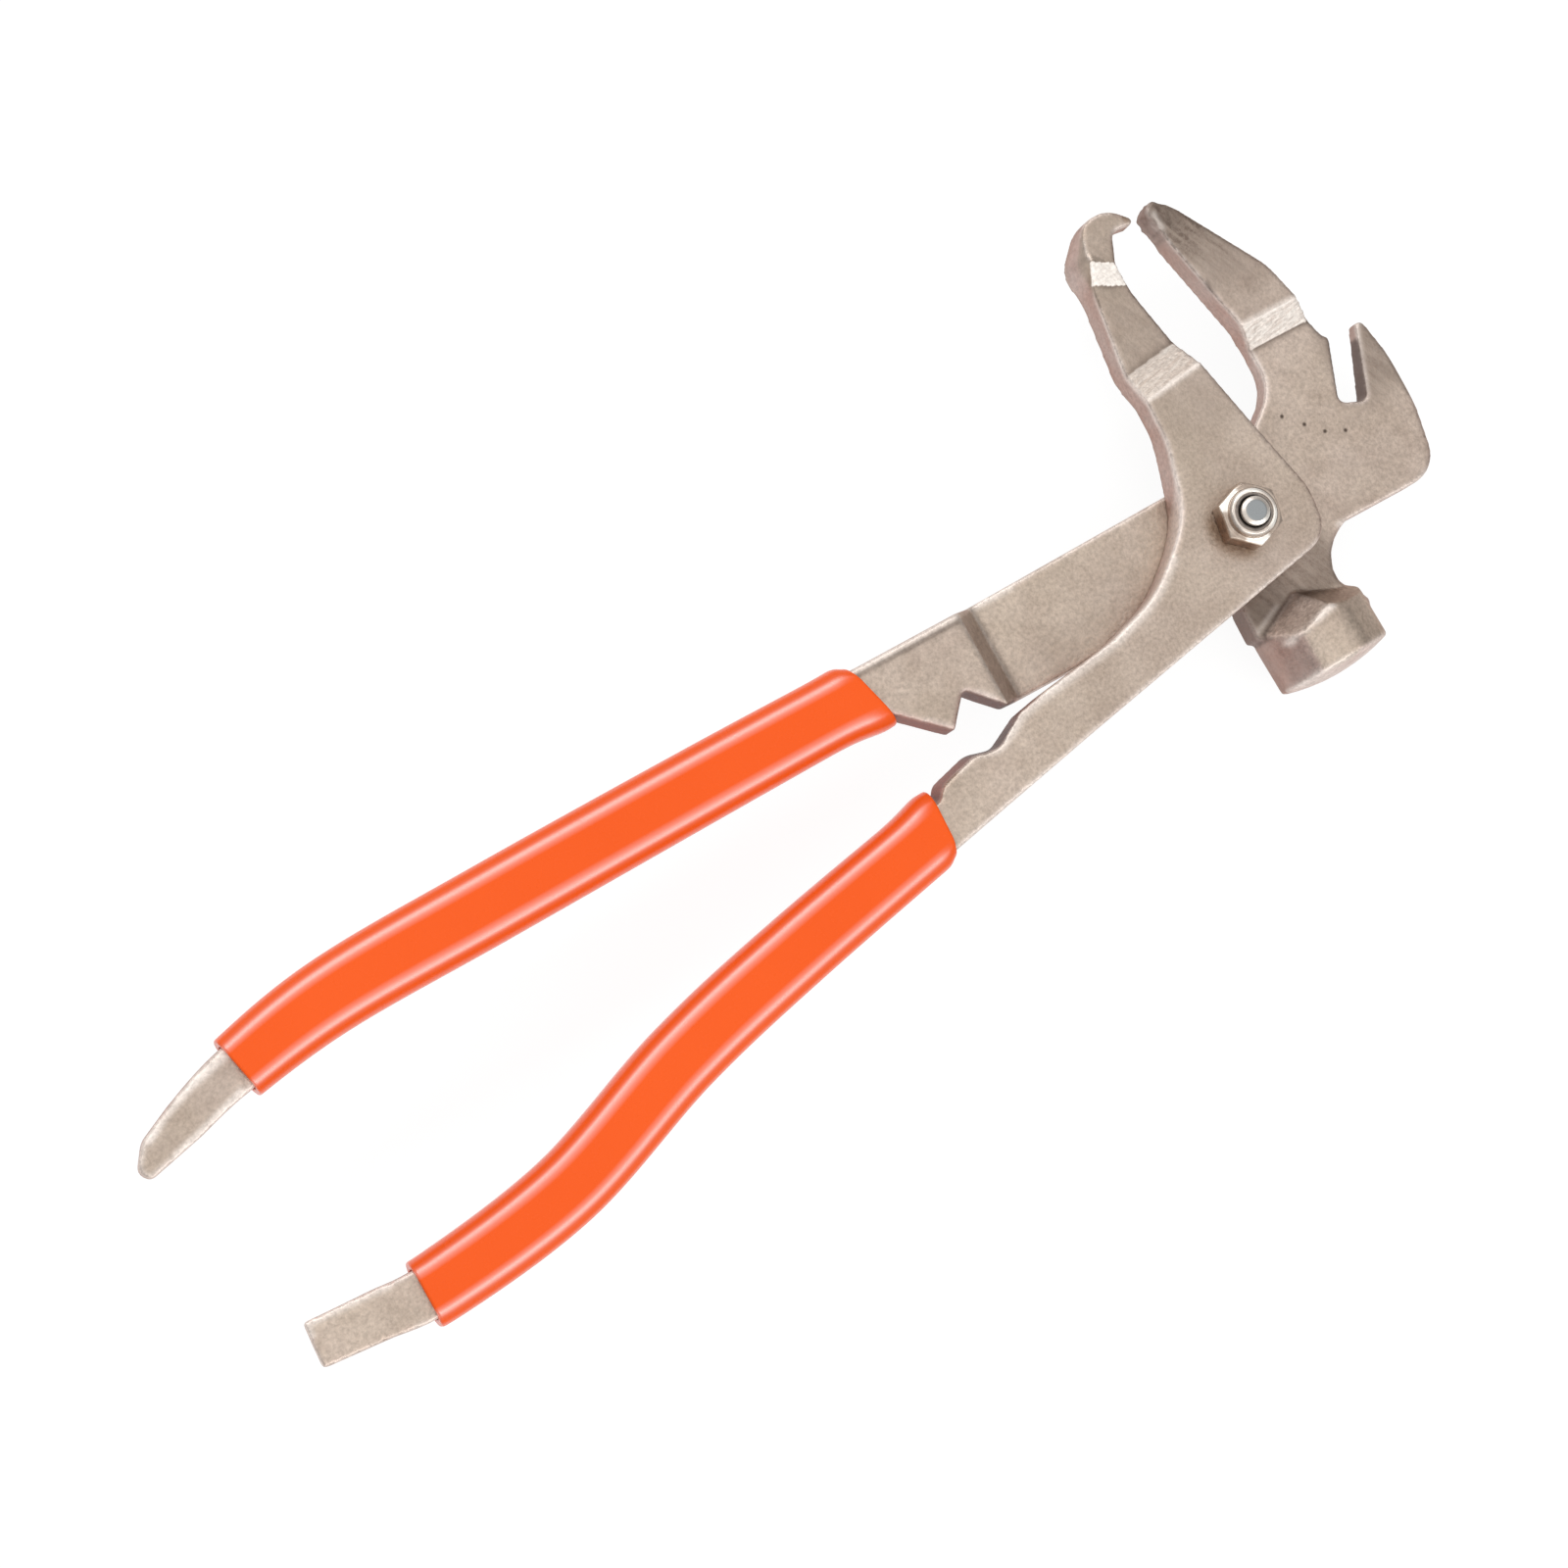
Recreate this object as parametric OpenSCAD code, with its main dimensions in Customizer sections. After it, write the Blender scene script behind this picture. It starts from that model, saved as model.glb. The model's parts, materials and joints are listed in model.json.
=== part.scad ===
// Wheel weight pliers: two forged levers on one bolt, with a hammer, a claw and two dipped grips.
// The outlines are drawn from the pivot axis: +X towards the head, +Y towards the jaws, +Z towards the nut.
// An outline corner is [distance along X, distance along Y, fillet radius].
// A handle station is [distance along X, distance along Y, half the bare handle's width].

/* [Levers] */
// Thickness of both forgings round the pivot
lever_t = 7; // [5:0.1:9]
// Thickness of both handles inside the grips
handle_t = 6.5; // [4.5:0.1:8]
// Running gap between the two levers, and between the moving lever and the nut
lap_gap = 0.1; // [0.05:0.01:0.3]
// Radial clearance of the pivot bolt in each lever
pivot_fit = 0.05; // [0.02:0.01:0.1]

/* [Hammer lever shank] */
// Distance from the pivot's line to the shank's lower edge
shank_low = 8.7; // [7:0.1:9.5]
// Distance from the pivot's line to the shank's upper edge at its step
shank_high = 9.1; // [7:0.1:10]
// Where the shank starts its step up to the handle's plane, measured from the pivot
crank_x = 48.2; // [44:0.1:50]
// Length of that step along the shank
crank_l = 5; // [3:0.1:5]
// Tip of the cutting tooth below the shank
tooth_tip = [-63.1, -8.3, 0.4]; // [-90:0.1:0]
// Root of the cutting notch
notch_root = [-58.4, -2.9, 0.7]; // [-90:0.1:0]
// Where the notch meets the shank's lower edge again, measured from the pivot
notch_x = 53.2; // [51:0.1:55]

/* [Fixed jaw] */
// Foot of the fixed jaw, where it leaves the shank
jaw_foot = [9, 10.4, 7]; // [0:0.1:60]
// Heel of the fixed jaw's inner edge
jaw_heel = [18.9, 18, 8]; // [0:0.1:60]
// Waist of the fixed jaw's inner edge
jaw_waist = [18.7, 27.5, 30]; // [0:0.1:60]
// Point where the fixed jaw's inner edge turns up to the tip
jaw_inside = [14.2, 47.5, 20]; // [0:0.1:60]
// Inner corner of the fixed jaw's tip
jaw_tip_in = [13, 54.6, 0.7]; // [0:0.1:60]
// Outer corner of the fixed jaw's tip
jaw_tip_out = [14.7, 56.4, 0.7]; // [0:0.1:60]
// Brow of the fixed jaw's outer edge
jaw_brow = [17.8, 53.6, 12]; // [0:0.1:60]
// Shoulder of the fixed jaw's outer edge
jaw_shoulder = [28, 37, 14]; // [0:0.1:60]
// Corner between the fixed jaw and the claw's slot
jaw_corner = [32.4, 20.4, 2.6]; // [0:0.1:60]
// Distance from the pivot to the start of the fixed jaw's step
jaw_step_y = 25.3; // [22:0.1:28]
// Length of that step
jaw_step_l = 4.4; // [3:0.1:8]
// Number of grip grooves across the fixed jaw's tip
groove_count = 4; // [2:1:6]
// Spacing of the grip grooves
groove_pitch = 1.3; // [0.8:0.1:2]
// Depth of the grip grooves
groove_depth = 0.35; // [0.2:0.05:0.6]

/* [Claw] */
// Width of the nail slot
slot_w = 5.2; // [3:0.1:6]
// Lean of the nail slot from the jaw's direction
slot_lean = 21; // [10:1:30]
// Middle of the slot's floor and the radius of its corners
slot_floor = [31.2, 9.1, 1.3]; // [0:0.1:60]
// Inner corner of the claw's tip
claw_tip_in = [38, 21.2, 0.7]; // [0:0.1:60]
// Outer corner of the claw's tip
claw_tip_out = [39.9, 20.9, 1]; // [0:0.1:60]
// Upper bend of the claw's outer edge
claw_upper = [41.3, 13.4, 30]; // [0:0.1:60]
// Lower bend of the claw's outer edge
claw_lower = [41.3, 4, 30]; // [0:0.1:60]
// Lower corner of the head
head_corner = [38.9, -8.5, 6]; // [-60:0.1:60]
// How much thinner the claw's tip is than the head
claw_thin = 3; // [0.5:0.1:4]
// Distance from the slot's floor back to where the claw starts to thin
claw_run = 8; // [2:0.5:10]

/* [Hammer] */
// Distance along the shank from the pivot to the hammer's axis
drum_x = 4.7; // [0:0.1:10]
// Lean of the hammer's axis towards the claw
drum_lean = 2; // [-4:0.5:4]
// Width of the hammer across its eight flats
drum_af = 20.3; // [16:0.1:24]
// Turn of the eight flats about the hammer's axis
drum_turn = 10; // [0:1:22]
// Distance from the pivot to the end of the hammer's shoulder
drum_back = 21.6; // [20:0.1:24]
// Distance from the pivot to the middle of the striking face
drum_face = 31.2; // [28:0.1:36]
// Radius of the crowned striking face
crown_r = 45; // [25:1:80]
// Bevel round the striking face
face_bevel = 0.7; // [0.3:0.1:1.5]
// Length of the hammer's shoulder
shoulder_l = 7; // [5:0.1:9]
// Left and right sides of the neck where it leaves the head
neck_top = [-3.4, 13.4]; // [-6:0.1:15]
// Left and right sides of the neck at the hammer
neck_foot = [-4.6, 12.3]; // [-6:0.1:15]
// Distance from the pivot to the neck's foot
neck_y = 19.4; // [18:0.1:20]
// Fillet between the neck and the head
neck_fillet = 4.6; // [2:0.1:5]

/* [Moving jaw] */
// Upper left corner of the hook
hook_top = [2.2, 58.4, 6]; // [-60:0.1:60]
// Upper right corner of the hook
hook_brow = [7.6, 58.6, 5]; // [-60:0.1:60]
// Outer corner of the hook's point
hook_point = [11.2, 54.9, 0.7]; // [-60:0.1:60]
// Inner corner of the hook's point
hook_under = [10.3, 54.3, 0.4]; // [-60:0.1:60]
// Root of the hook
hook_root = [6.6, 54.7, 1.6]; // [-60:0.1:60]
// Throat below the hook
throat = [4.3, 49.4, 6]; // [-60:0.1:60]
// Upper bend of the moving jaw's inner edge
chin = [3.4, 44.5, 8]; // [-60:0.1:60]
// Lower bend of the moving jaw's inner edge
bite = [5.6, 33.5, 16]; // [-60:0.1:60]
// Bend where the moving jaw widens into the boss
boss_upper = [9.9, 14, 14]; // [-60:0.1:60]
// Right side of the boss
boss_side = [13.3, -0.4, 7]; // [-60:0.1:60]
// Lower corner of the boss
boss_lower = [12.4, -9.3, 7.5]; // [-60:0.1:60]
// Back of the hook
hook_back = [-3.9, 52.4, 5]; // [-60:0.1:60]
// Nape below the hook
nape = [-3.1, 46, 9]; // [-60:0.1:60]
// Back of the moving jaw
jaw_back = [-5, 31, 20]; // [-60:0.1:60]
// Upper end of the bend into the arm
elbow_upper = [-5.4, 17.5, 20]; // [-60:0.1:60]
// Middle of the bend into the arm
elbow = [-9.3, 4.8, 16]; // [-60:0.1:60]
// Lower end of the bend into the arm
elbow_lower = [-20.5, -4.4, 24]; // [-60:0.1:60]
// Distance from the pivot to the start of the moving jaw's step, and its length
back_step = [25.8, 5.7]; // [0:0.1:60]
// Lean of the moving jaw's step, anticlockwise from the jaw's direction
back_step_lean = 8; // [0:1:15]
// Distance from the pivot to the start of the hook's step, and its length
hook_step = [41.9, 4.6]; // [0:0.1:60]
// Lean of the hook's step, clockwise from the jaw's direction
hook_step_lean = 26; // [15:1:35]
// Depth of the hook's step
hook_drop = 2; // [0.5:0.1:3]

/* [Moving arm] */
// Inner edge of the arm where it crosses the shank's lower edge
arm_inner = [-32, -7.8, 30]; // [-90:0.1:0]
// Upper end of the wavy cutting edge
wave_start = [-46.6, -9.8, 3]; // [-90:0.1:0]
// First crest of the cutting edge
wave_crest = [-51.7, -10.8, 3]; // [-90:0.1:0]
// Hollow of the cutting edge
wave_hollow = [-57.8, -13.8, 2.4]; // [-90:0.1:0]
// Second crest of the cutting edge
wave_second = [-62.3, -12.5, 4]; // [-90:0.1:0]
// Lower end of the cutting edge
wave_end = [-70, -14.5, 2.5]; // [-90:0.1:0]
// Slight bend in the arm's outer edge
arm_outer = [-42, -19.7, 60]; // [-90:0.1:0]

/* [Fixed handle] */
// Handle just above the grip's mouth
fixed_mouth = [-72, 4.35, 4.6]; // [-230:0.1:60]
// Handle a quarter of the way along the grip
fixed_front = [-104, 4.05, 4.9]; // [-230:0.1:60]
// Handle at its widest
fixed_swell = [-145.5, 3.3, 5.05]; // [-230:0.1:60]
// Handle where it bends
fixed_bend = [-175.5, 2.45, 4.8]; // [-230:0.1:60]
// Handle at the grip's end
fixed_end = [-195.4, -0.9, 4.15]; // [-230:0.1:60]
// Handle where the pry point starts
pry_root = [-206, -4.2, 3.65]; // [-230:0.1:60]
// Upper corner of the pry point
pry_upper = [-213.6, -3.8, 4]; // [-230:0.1:60]
// Outer corner of the pry point
pry_outer = [-216.6, -8, 1.6]; // [-230:0.1:60]
// Lower corner of the pry point
pry_lower = [-215, -10, 1.2]; // [-230:0.1:60]
// Thickness of the pry point at its end
pry_t = 2.6; // [1:0.1:5]

/* [Moving handle] */
// Handle just above the grip's mouth
moving_mouth = [-66, -20, 4.45]; // [-230:0.1:60]
// Handle a quarter of the way along the grip
moving_front = [-104, -27.55, 4.75]; // [-230:0.1:60]
// Handle where it bends outwards
moving_out = [-130, -33.95, 4.8]; // [-230:0.1:60]
// Handle where it bends back
moving_back = [-157, -43.4, 4.7]; // [-230:0.1:60]
// Handle at the grip's end
moving_end = [-182.5, -46.95, 4.4]; // [-230:0.1:60]
// Handle where the blade starts
blade_root = [-194, -46.35, 4.15]; // [-230:0.1:60]
// End of the blade
blade_end = [-205.1, -45.5, 4]; // [-230:0.1:60]
// Thickness of the blade at its end
blade_t = 2; // [1:0.1:5]
// Radius of the blade's corners
blade_corner = 1.2; // [0.4:0.1:2]

/* [Grips] */
// Wall of both grips
grip_wall = 1.6; // [1:0.1:2.5]
// Radius of the grips' long edges
grip_edge = 3; // [1:0.1:4]
// Gap between a grip and its handle
grip_fit = 0.03; // [0:0.01:0.1]
// Mouth and end of the hammer lever's grip, measured back from the pivot
fixed_grip = [72.8, 195.9]; // [60:0.1:220]
// Slant of that grip's mouth, and of its end
fixed_slant = [15, 12]; // [0:1:25]
// Mouth and end of the jaw lever's grip, measured back from the pivot
moving_grip = [72.6, 185.8]; // [60:0.1:220]

/* [Pivot bolt] */
// Diameter of the pivot bolt
bolt_d = 6; // [5:0.5:8]
// Width of the bolt head across its flats
head_af = 10; // [8:0.5:13]
// Height of the bolt head
head_h = 4; // [3:0.1:5.5]
// How far the bolt stands out of the nut
bolt_proud = 1.1; // [0.5:0.1:3]
// Chamfer at the bolt's end
bolt_chamfer = 0.8; // [0.3:0.1:1]
// Width of the nut across its flats
nut_af = 10; // [8:0.5:13]
// Height of the nut with its collar
nut_h = 6; // [5:0.1:8]
// Height of the nut's collar
collar_h = 1.5; // [1:0.1:2]
// Diameter of the nut's collar
collar_d = 8.6; // [8:0.1:9.4]
// Wall of the nut's collar
collar_wall = 0.5; // [0.3:0.05:0.8]
// Height of the locking ring in the nut
ring_h = 1.7; // [1:0.1:2.5]
// Turn of the nut about the bolt
nut_turn = 20; // [0:1:60]
// Radial clearance of the nut's thread on the bolt
thread_fit = 0.03; // [0:0.01:0.1]

/* [Hidden] */
$fn = 64;
steel = [0.71, 0.66, 0.61];
zinc = [0.78, 0.8, 0.82];
nylon = [0.3, 0.3, 0.33];
orange = [0.99, 0.37, 0.15];
// Room past a solid for a cutter, and the half-size of a slab that holds a profile
over = 1;
slab = 2 * drum_face + lever_t;
long = -2 * pry_outer[0];

// Heights
step = lever_t + lap_gap;
half_step = step / 2;
handle_z = lap_gap + lever_t / 2;
moving_top = lap_gap + lever_t;
nut_z = moving_top + lap_gap;
drum_z = -lever_t / 2;
drum_r = drum_af / 2 / cos(22.5);
// How far the neck's end is drawn in, to stay inside the hammer
neck_in = 1.6;

// Vector helpers
function flat(p) = [p[0], p[1]];
function unit(v) = v / norm(v);
function turn(v) = [-v[1], v[0]];
function sharp(p) = [p[0], p[1], 0];

// A corner with its fillet, as points along the arc
function corner(a, b, c, r, n = 8) =
    let (u = unit(a - b), v = unit(c - b))
    let (half = acos(max(-1, min(1, u * v))) / 2)
    let (room = 0.48 * min(norm(a - b), norm(c - b)))
    let (reach = min(r / tan(half), room))
    let (radius = reach * tan(half), middle = b + unit(u + v) * radius / sin(half))
    let (from = b + u * reach - middle, to = b + v * reach - middle)
    let (a0 = atan2(from[1], from[0]), a1 = atan2(to[1], to[0]))
    let (sweep = (a1 - a0 + 900) % 360 - 180)
    [for (i = [0:n]) middle + radius * [cos(a0 + sweep * i / n), sin(a0 + sweep * i / n)]];

// An outline from corners [x, y, radius]
function rounded(list) = [
    for (i = [0:len(list) - 1])
        let (a = list[(i + len(list) - 1) % len(list)], b = list[i], c = list[(i + 1) % len(list)])
        each (b[2] > 0 ? corner(flat(a), flat(b), flat(c), b[2]) : [flat(b)])
];

// A smooth run through stations, as [x, y, half width]
function between(a, b, c, d, t) =
    (2 * b + (c - a) * t + (2 * a - 5 * b + 4 * c - d) * t * t + (3 * b - a - 3 * c + d) * t * t * t) / 2;
function smooth(list, n) = [
    for (i = [0:len(list) - 2], j = [0:n - 1])
        between(list[max(i - 1, 0)], list[i], list[i + 1], list[min(i + 2, len(list) - 1)], j / n),
    list[len(list) - 1]
];
function along(run, i) = unit(flat(run[min(i + 1, len(run) - 1)]) - flat(run[max(i - 1, 0)]));
function side(run, way, extra = 0) = [
    for (i = [0:len(run) - 1]) flat(run[i]) + way * (run[i][2] + extra) * turn(along(run, i))
];
function reversed(list) = [for (i = [len(list) - 1:-1:0]) list[i]];
function ribbon(run, extra = 0) = concat(side(run, 1, extra), reversed(side(run, -1, extra)));

// Stations of the two handles
steps = 6;
fixed_run = smooth([fixed_mouth, fixed_front, fixed_swell, fixed_bend, fixed_end, pry_root], steps);
moving_run = smooth(
    [moving_mouth, moving_front, moving_out, moving_back, moving_end, blade_root, blade_end], steps
);

// Hammer lever: the head and shank, the tang's lower edge with its tooth and notch, and the pry point
head_points = rounded([
    [-crank_x, shank_high, 0],
    jaw_foot, jaw_heel, jaw_waist, jaw_inside, jaw_tip_in, jaw_tip_out, jaw_brow, jaw_shoulder, jaw_corner,
    claw_tip_in, claw_tip_out, claw_upper, claw_lower, head_corner,
    [neck_top[1], head_corner[1], neck_fillet],
    [neck_foot[1], -neck_y, 0],
    [neck_foot[1] - neck_in, -drum_back, 0],
    [neck_foot[0] + neck_in, -drum_back, 0],
    [neck_foot[0], -neck_y, 0],
    [neck_top[0], -shank_low, neck_fillet],
    [-crank_x, -shank_low, 0]
]);
fixed_low = side(fixed_run, 1)[0];
fixed_high = side(fixed_run, -1)[0];
tang_points = rounded([
    [-crank_x + lever_t, shank_high, 0],
    sharp(fixed_high), sharp(fixed_low), tooth_tip, notch_root,
    [-notch_x, -shank_low, 0.5],
    [-crank_x + lever_t, -shank_low, 0]
]);
pry_low = side(fixed_run, 1)[len(fixed_run) - 1];
pry_high = side(fixed_run, -1)[len(fixed_run) - 1];
pry_points = rounded([sharp(pry_high), pry_upper, pry_outer, pry_lower, sharp(pry_low)]);

// Jaw lever: the jaw, the boss and the arm in one outline, down to the first step along the handle
moving_low = side(moving_run, 1);
moving_high = side(moving_run, -1);
lever_points = rounded([
    hook_back, hook_top, hook_brow, hook_point, hook_under, hook_root, throat, chin, bite, boss_upper,
    boss_side, boss_lower, arm_outer, sharp(moving_low[0]), sharp(moving_low[1]), sharp(moving_high[1]),
    wave_end, wave_second, wave_hollow, wave_crest, wave_start, arm_inner,
    elbow_lower, elbow, elbow_upper, jaw_back, nape
]);

blade_last = len(moving_run) - 1;
blade_points = rounded(concat(
    [for (i = [0:blade_last - 1]) sharp(moving_low[i])],
    [for (p = [moving_low[blade_last], moving_high[blade_last]]) [p[0], p[1], blade_corner]],
    [for (i = [blade_last - 1:-1:0]) sharp(moving_high[i])]
));

// The model stands on the middle of its own box, so the box is worked out from the outlines
moving_grip_points = ribbon(moving_run, grip_wall);
low_x = min([for (p = pry_points) p[0]]);
high_x = max([for (p = head_points) p[0]]);
low_y = min([for (p = moving_grip_points) p[1]]);
high_y = max([for (p = lever_points) p[1]]);
low_z = drum_z - drum_r * max([for (i = [0:7]) cos(drum_turn + 22.5 + 45 * i)]);
origin = [(low_x + high_x) / 2, (low_y + high_y) / 2, low_z];

// A bar with a stepped side view: profile is [distance, height], laid along X and drawn across Y
module side_view(profile) {
    translate([0, slab, 0]) rotate([90, 0, 0]) linear_extrude(2 * slab) polygon(profile);
}

// The same side view with its distance running along Y, and leaning by an angle
module end_view(profile, lean = 0) {
    rotate(lean + 90) side_view(profile);
}

// Everything on the handles' side of a line through the pivot
module below_pivot(lean) {
    rotate(lean) translate([-long, -2 * long, -slab]) cube([2 * long, 2 * long, 2 * slab]);
}

module plan(points) {
    translate([0, 0, -slab]) linear_extrude(2 * slab) polygon(points);
}

module pivot_bore() {
    translate([0, 0, -slab]) cylinder(h = 2 * slab, d = bolt_d + 2 * pivot_fit);
}

// Side view of the fixed jaw: level with the head, then up by half a step
fixed_jaw_view = [
    [-slab, -lever_t], [jaw_step_y, -lever_t], [jaw_step_y + jaw_step_l, half_step - lever_t],
    [slab, half_step - lever_t], [slab, half_step],
    [jaw_step_y + jaw_step_l, half_step], [jaw_step_y, 0], [-slab, 0]
];

// Side view of the shank and handle: up by a full step, then a taper to the pry point
crank_end = crank_x + crank_l;
function handle_low(extra) = handle_z - handle_t / 2 - extra;
function handle_high(extra) = handle_z + handle_t / 2 + extra;
function fixed_view(extra = 0) = [
    [slab, -lever_t], [-crank_x, -lever_t], [-crank_end, handle_low(extra)],
    [fixed_end[0], handle_low(extra)], [low_x, handle_z - pry_t / 2 - extra],
    [low_x, handle_z + pry_t / 2 + extra], [fixed_end[0], handle_high(extra)],
    [-crank_end, handle_high(extra)], [-crank_x, 0], [slab, 0]
];

// Side view of the arm and handle: level, then a taper to the blade
function moving_view(extra = 0) = [
    [slab, lap_gap], [wave_start[0], lap_gap], [moving_mouth[0], handle_low(extra)],
    [moving_end[0], handle_low(extra)], [blade_end[0], handle_z - blade_t / 2],
    [blade_end[0] - over, handle_z - blade_t / 2], [blade_end[0] - over, handle_z + blade_t / 2],
    [blade_end[0], handle_z + blade_t / 2], [moving_end[0], handle_high(extra)],
    [moving_mouth[0], handle_high(extra)], [wave_start[0], moving_top], [slab, moving_top]
];

// Side view of the moving jaw from the pivot up: level with the boss, then down by half a step
moving_jaw_view = [
    [0, lap_gap], [back_step[0], lap_gap], [back_step[0] + back_step[1], lap_gap - half_step],
    [slab, lap_gap - half_step], [slab, moving_top - half_step],
    [back_step[0] + back_step[1], moving_top - half_step], [back_step[0], moving_top],
    [0, moving_top]
];

// What the hook's step takes off the front of the moving jaw
hook_z = moving_top - half_step;
hook_cut = [
    [hook_step[0], hook_z], [hook_step[0] + hook_step[1], hook_z - hook_drop],
    [slab, hook_z - hook_drop], [slab, hook_z + over], [hook_step[0], hook_z + over]
];

module nail_slot() {
    wide = slot_w / 2;
    translate([slot_floor[0], slot_floor[1], -slab]) rotate(-slot_lean) linear_extrude(2 * slab)
        polygon(rounded([
            [-wide, 0, slot_floor[2]], [wide, 0, slot_floor[2]],
            [wide, claw_tip_in[1], 0], [-wide, claw_tip_in[1], 0]
        ]));
}

// The claw's back is planed thinner towards its tip
module claw_relief() {
    reach = norm(flat(claw_tip_out) - flat(slot_floor)) + claw_run;
    translate([slot_floor[0], slot_floor[1], -lever_t]) rotate(90 - slot_lean) translate([-claw_run, 0, 0])
        side_view([[0, 0], [reach, claw_thin], [slab, claw_thin], [slab, -over], [0, -over]]);
}

// Sharp grooves across the fixed jaw's gripping edge
module grip_grooves() {
    way = unit(flat(jaw_tip_in) - flat(jaw_inside));
    wide = groove_depth * sqrt(2);
    for (i = [1:groove_count]) {
        spot = flat(jaw_tip_in) - way * groove_pitch * i;
        translate([spot[0], spot[1], 0]) rotate(atan2(way[1], way[0]) + 45)
            translate([-wide / 2, -wide / 2, -slab]) linear_extrude(2 * slab) square(wide);
    }
}

// The hammer's crowned and bevelled face, turned about its own axis
crown_steps = 7;
function crown(r) = drum_face - crown_r + sqrt(crown_r * crown_r - r * r);
module drum_blank() {
    rim = drum_r - face_bevel;
    rotate_extrude() polygon(concat(
        [[0, 0], [drum_r + over, 0], [drum_r + over, crown(rim) - face_bevel - over]],
        [for (i = [crown_steps:-1:0]) [rim * i / crown_steps, crown(rim * i / crown_steps)]]
    ));
}

// Eight flats that draw in to the neck's thickness along the shoulder
module drum_flats() {
    half = drum_af / 2;
    root = lever_t / 2 * cos(22.5);
    start = drum_back - shoulder_l;
    intersection_for(i = [0:3]) rotate([90, 0, 45 * i]) linear_extrude(2 * slab, center = true) polygon([
        [-root, start], [root, start], [half, drum_back], [half, slab], [-half, slab], [-half, drum_back]
    ]);
}

module hammer_drum() {
    translate([drum_x, 0, drum_z]) rotate([90, drum_turn, drum_lean]) intersection() {
        drum_blank();
        drum_flats();
    }
}

module hammer_lever() {
    color(steel) difference() {
        union() {
            intersection() {
                plan(head_points);
                end_view(fixed_jaw_view);
            }
            intersection() {
                union() {
                    plan(tang_points);
                    plan(ribbon(fixed_run));
                    plan(pry_points);
                }
                side_view(fixed_view());
            }
            hammer_drum();
        }
        pivot_bore();
        nail_slot();
        claw_relief();
        grip_grooves();
    }
}

module jaw_lever() {
    color(steel) difference() {
        union() {
            intersection() {
                plan(lever_points);
                end_view(moving_jaw_view, back_step_lean);
            }
            intersection() {
                union() {
                    plan(lever_points);
                    plan(blade_points);
                }
                side_view(moving_view());
                below_pivot(back_step_lean);
            }
        }
        pivot_bore();
        end_view(hook_cut, -hook_step_lean);
    }
}

// A hexagon with its upper corners turned off
module turned_hex(af, h) {
    corner_r = af / 2 / cos(30);
    bevel = (corner_r - af / 2) * tan(30);
    intersection() {
        cylinder(h = h, r = corner_r, $fn = 6);
        rotate_extrude() polygon([[0, 0], [corner_r, 0], [corner_r, h - bevel], [af / 2, h], [0, h]]);
    }
}

module pivot_bolt() {
    r = bolt_d / 2;
    end = nut_z + nut_h + bolt_proud;
    color(zinc) union() {
        translate([0, 0, -lever_t]) mirror([0, 0, 1]) rotate(nut_turn) turned_hex(head_af, head_h);
        rotate_extrude() polygon([
            [0, -lever_t - over], [r, -lever_t - over], [r, end - bolt_chamfer], [r - bolt_chamfer, end], [0, end]
        ]);
    }
}

// The collar's lip closes over the locking ring
lip = collar_wall;
ring_r = collar_d / 2 - collar_wall;
module lock_nut() {
    hex_h = nut_h - collar_h;
    thread_r = bolt_d / 2 + thread_fit;
    ring_low = nut_h - lip - ring_h;
    color(zinc) translate([0, 0, nut_z]) rotate(nut_turn) difference() {
        union() {
            turned_hex(nut_af, hex_h);
            rotate_extrude() polygon([
                [0, 0], [collar_d / 2, 0], [collar_d / 2, nut_h - lip], [collar_d / 2 - lip, nut_h], [0, nut_h]
            ]);
        }
        translate([0, 0, -over]) cylinder(h = nut_h + 2 * over, r = thread_r);
        translate([0, 0, ring_low]) cylinder(h = ring_h, r = ring_r);
        translate([0, 0, ring_low]) cylinder(h = nut_h, r = ring_r - lip);
    }
}

module nut_ring() {
    color(nylon) translate([0, 0, nut_z + nut_h - lip - ring_h]) difference() {
        cylinder(h = ring_h, r = ring_r - thread_fit);
        translate([0, 0, -over]) cylinder(h = ring_h + 2 * over, r = bolt_d / 2 + thread_fit);
    }
}

// One ring of a grip: a rounded oblong across the handle, round station i of a run
edge_steps = 3;
function grip_ring(run, i) =
    let (way = along(run, i), across = turn(way), wide = run[i][2] + grip_wall, high = handle_t / 2 + grip_wall)
    [for (k = [0:3], j = [0:edge_steps])
        let (a = 90 * (k + j / edge_steps))
        let (u = grip_edge * cos(a) + (wide - grip_edge) * (k == 0 || k == 3 ? 1 : -1))
        let (v = grip_edge * sin(a) + (high - grip_edge) * (k < 2 ? 1 : -1))
        [run[i][0] + across[0] * u, run[i][1] + across[1] * u, handle_z + v]];

module grip_skin(run) {
    count = 4 * (edge_steps + 1);
    last = len(run) - 1;
    polyhedron(
        points = [for (i = [0:last]) each grip_ring(run, i)],
        faces = concat(
            [[for (j = [0:count - 1]) j]],
            [for (i = [0:last - 1], j = [0:count - 1])
                let (a = i * count + j, b = i * count + (j + 1) % count)
                [b, a, a + count, b + count]],
            [[for (j = [count - 1:-1:0]) last * count + j]]
        )
    );
}

// The stretch of a run between a grip's mouth and its end, each with its slant
module grip_span(span, slant, height) {
    plan([
        for (y = [slab, -slab]) [-span[0] - tan(slant[0]) * (y - height), y],
        for (y = [-slab, slab]) [-span[1] - tan(slant[1]) * (y - height), y]
    ]);
}

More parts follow.
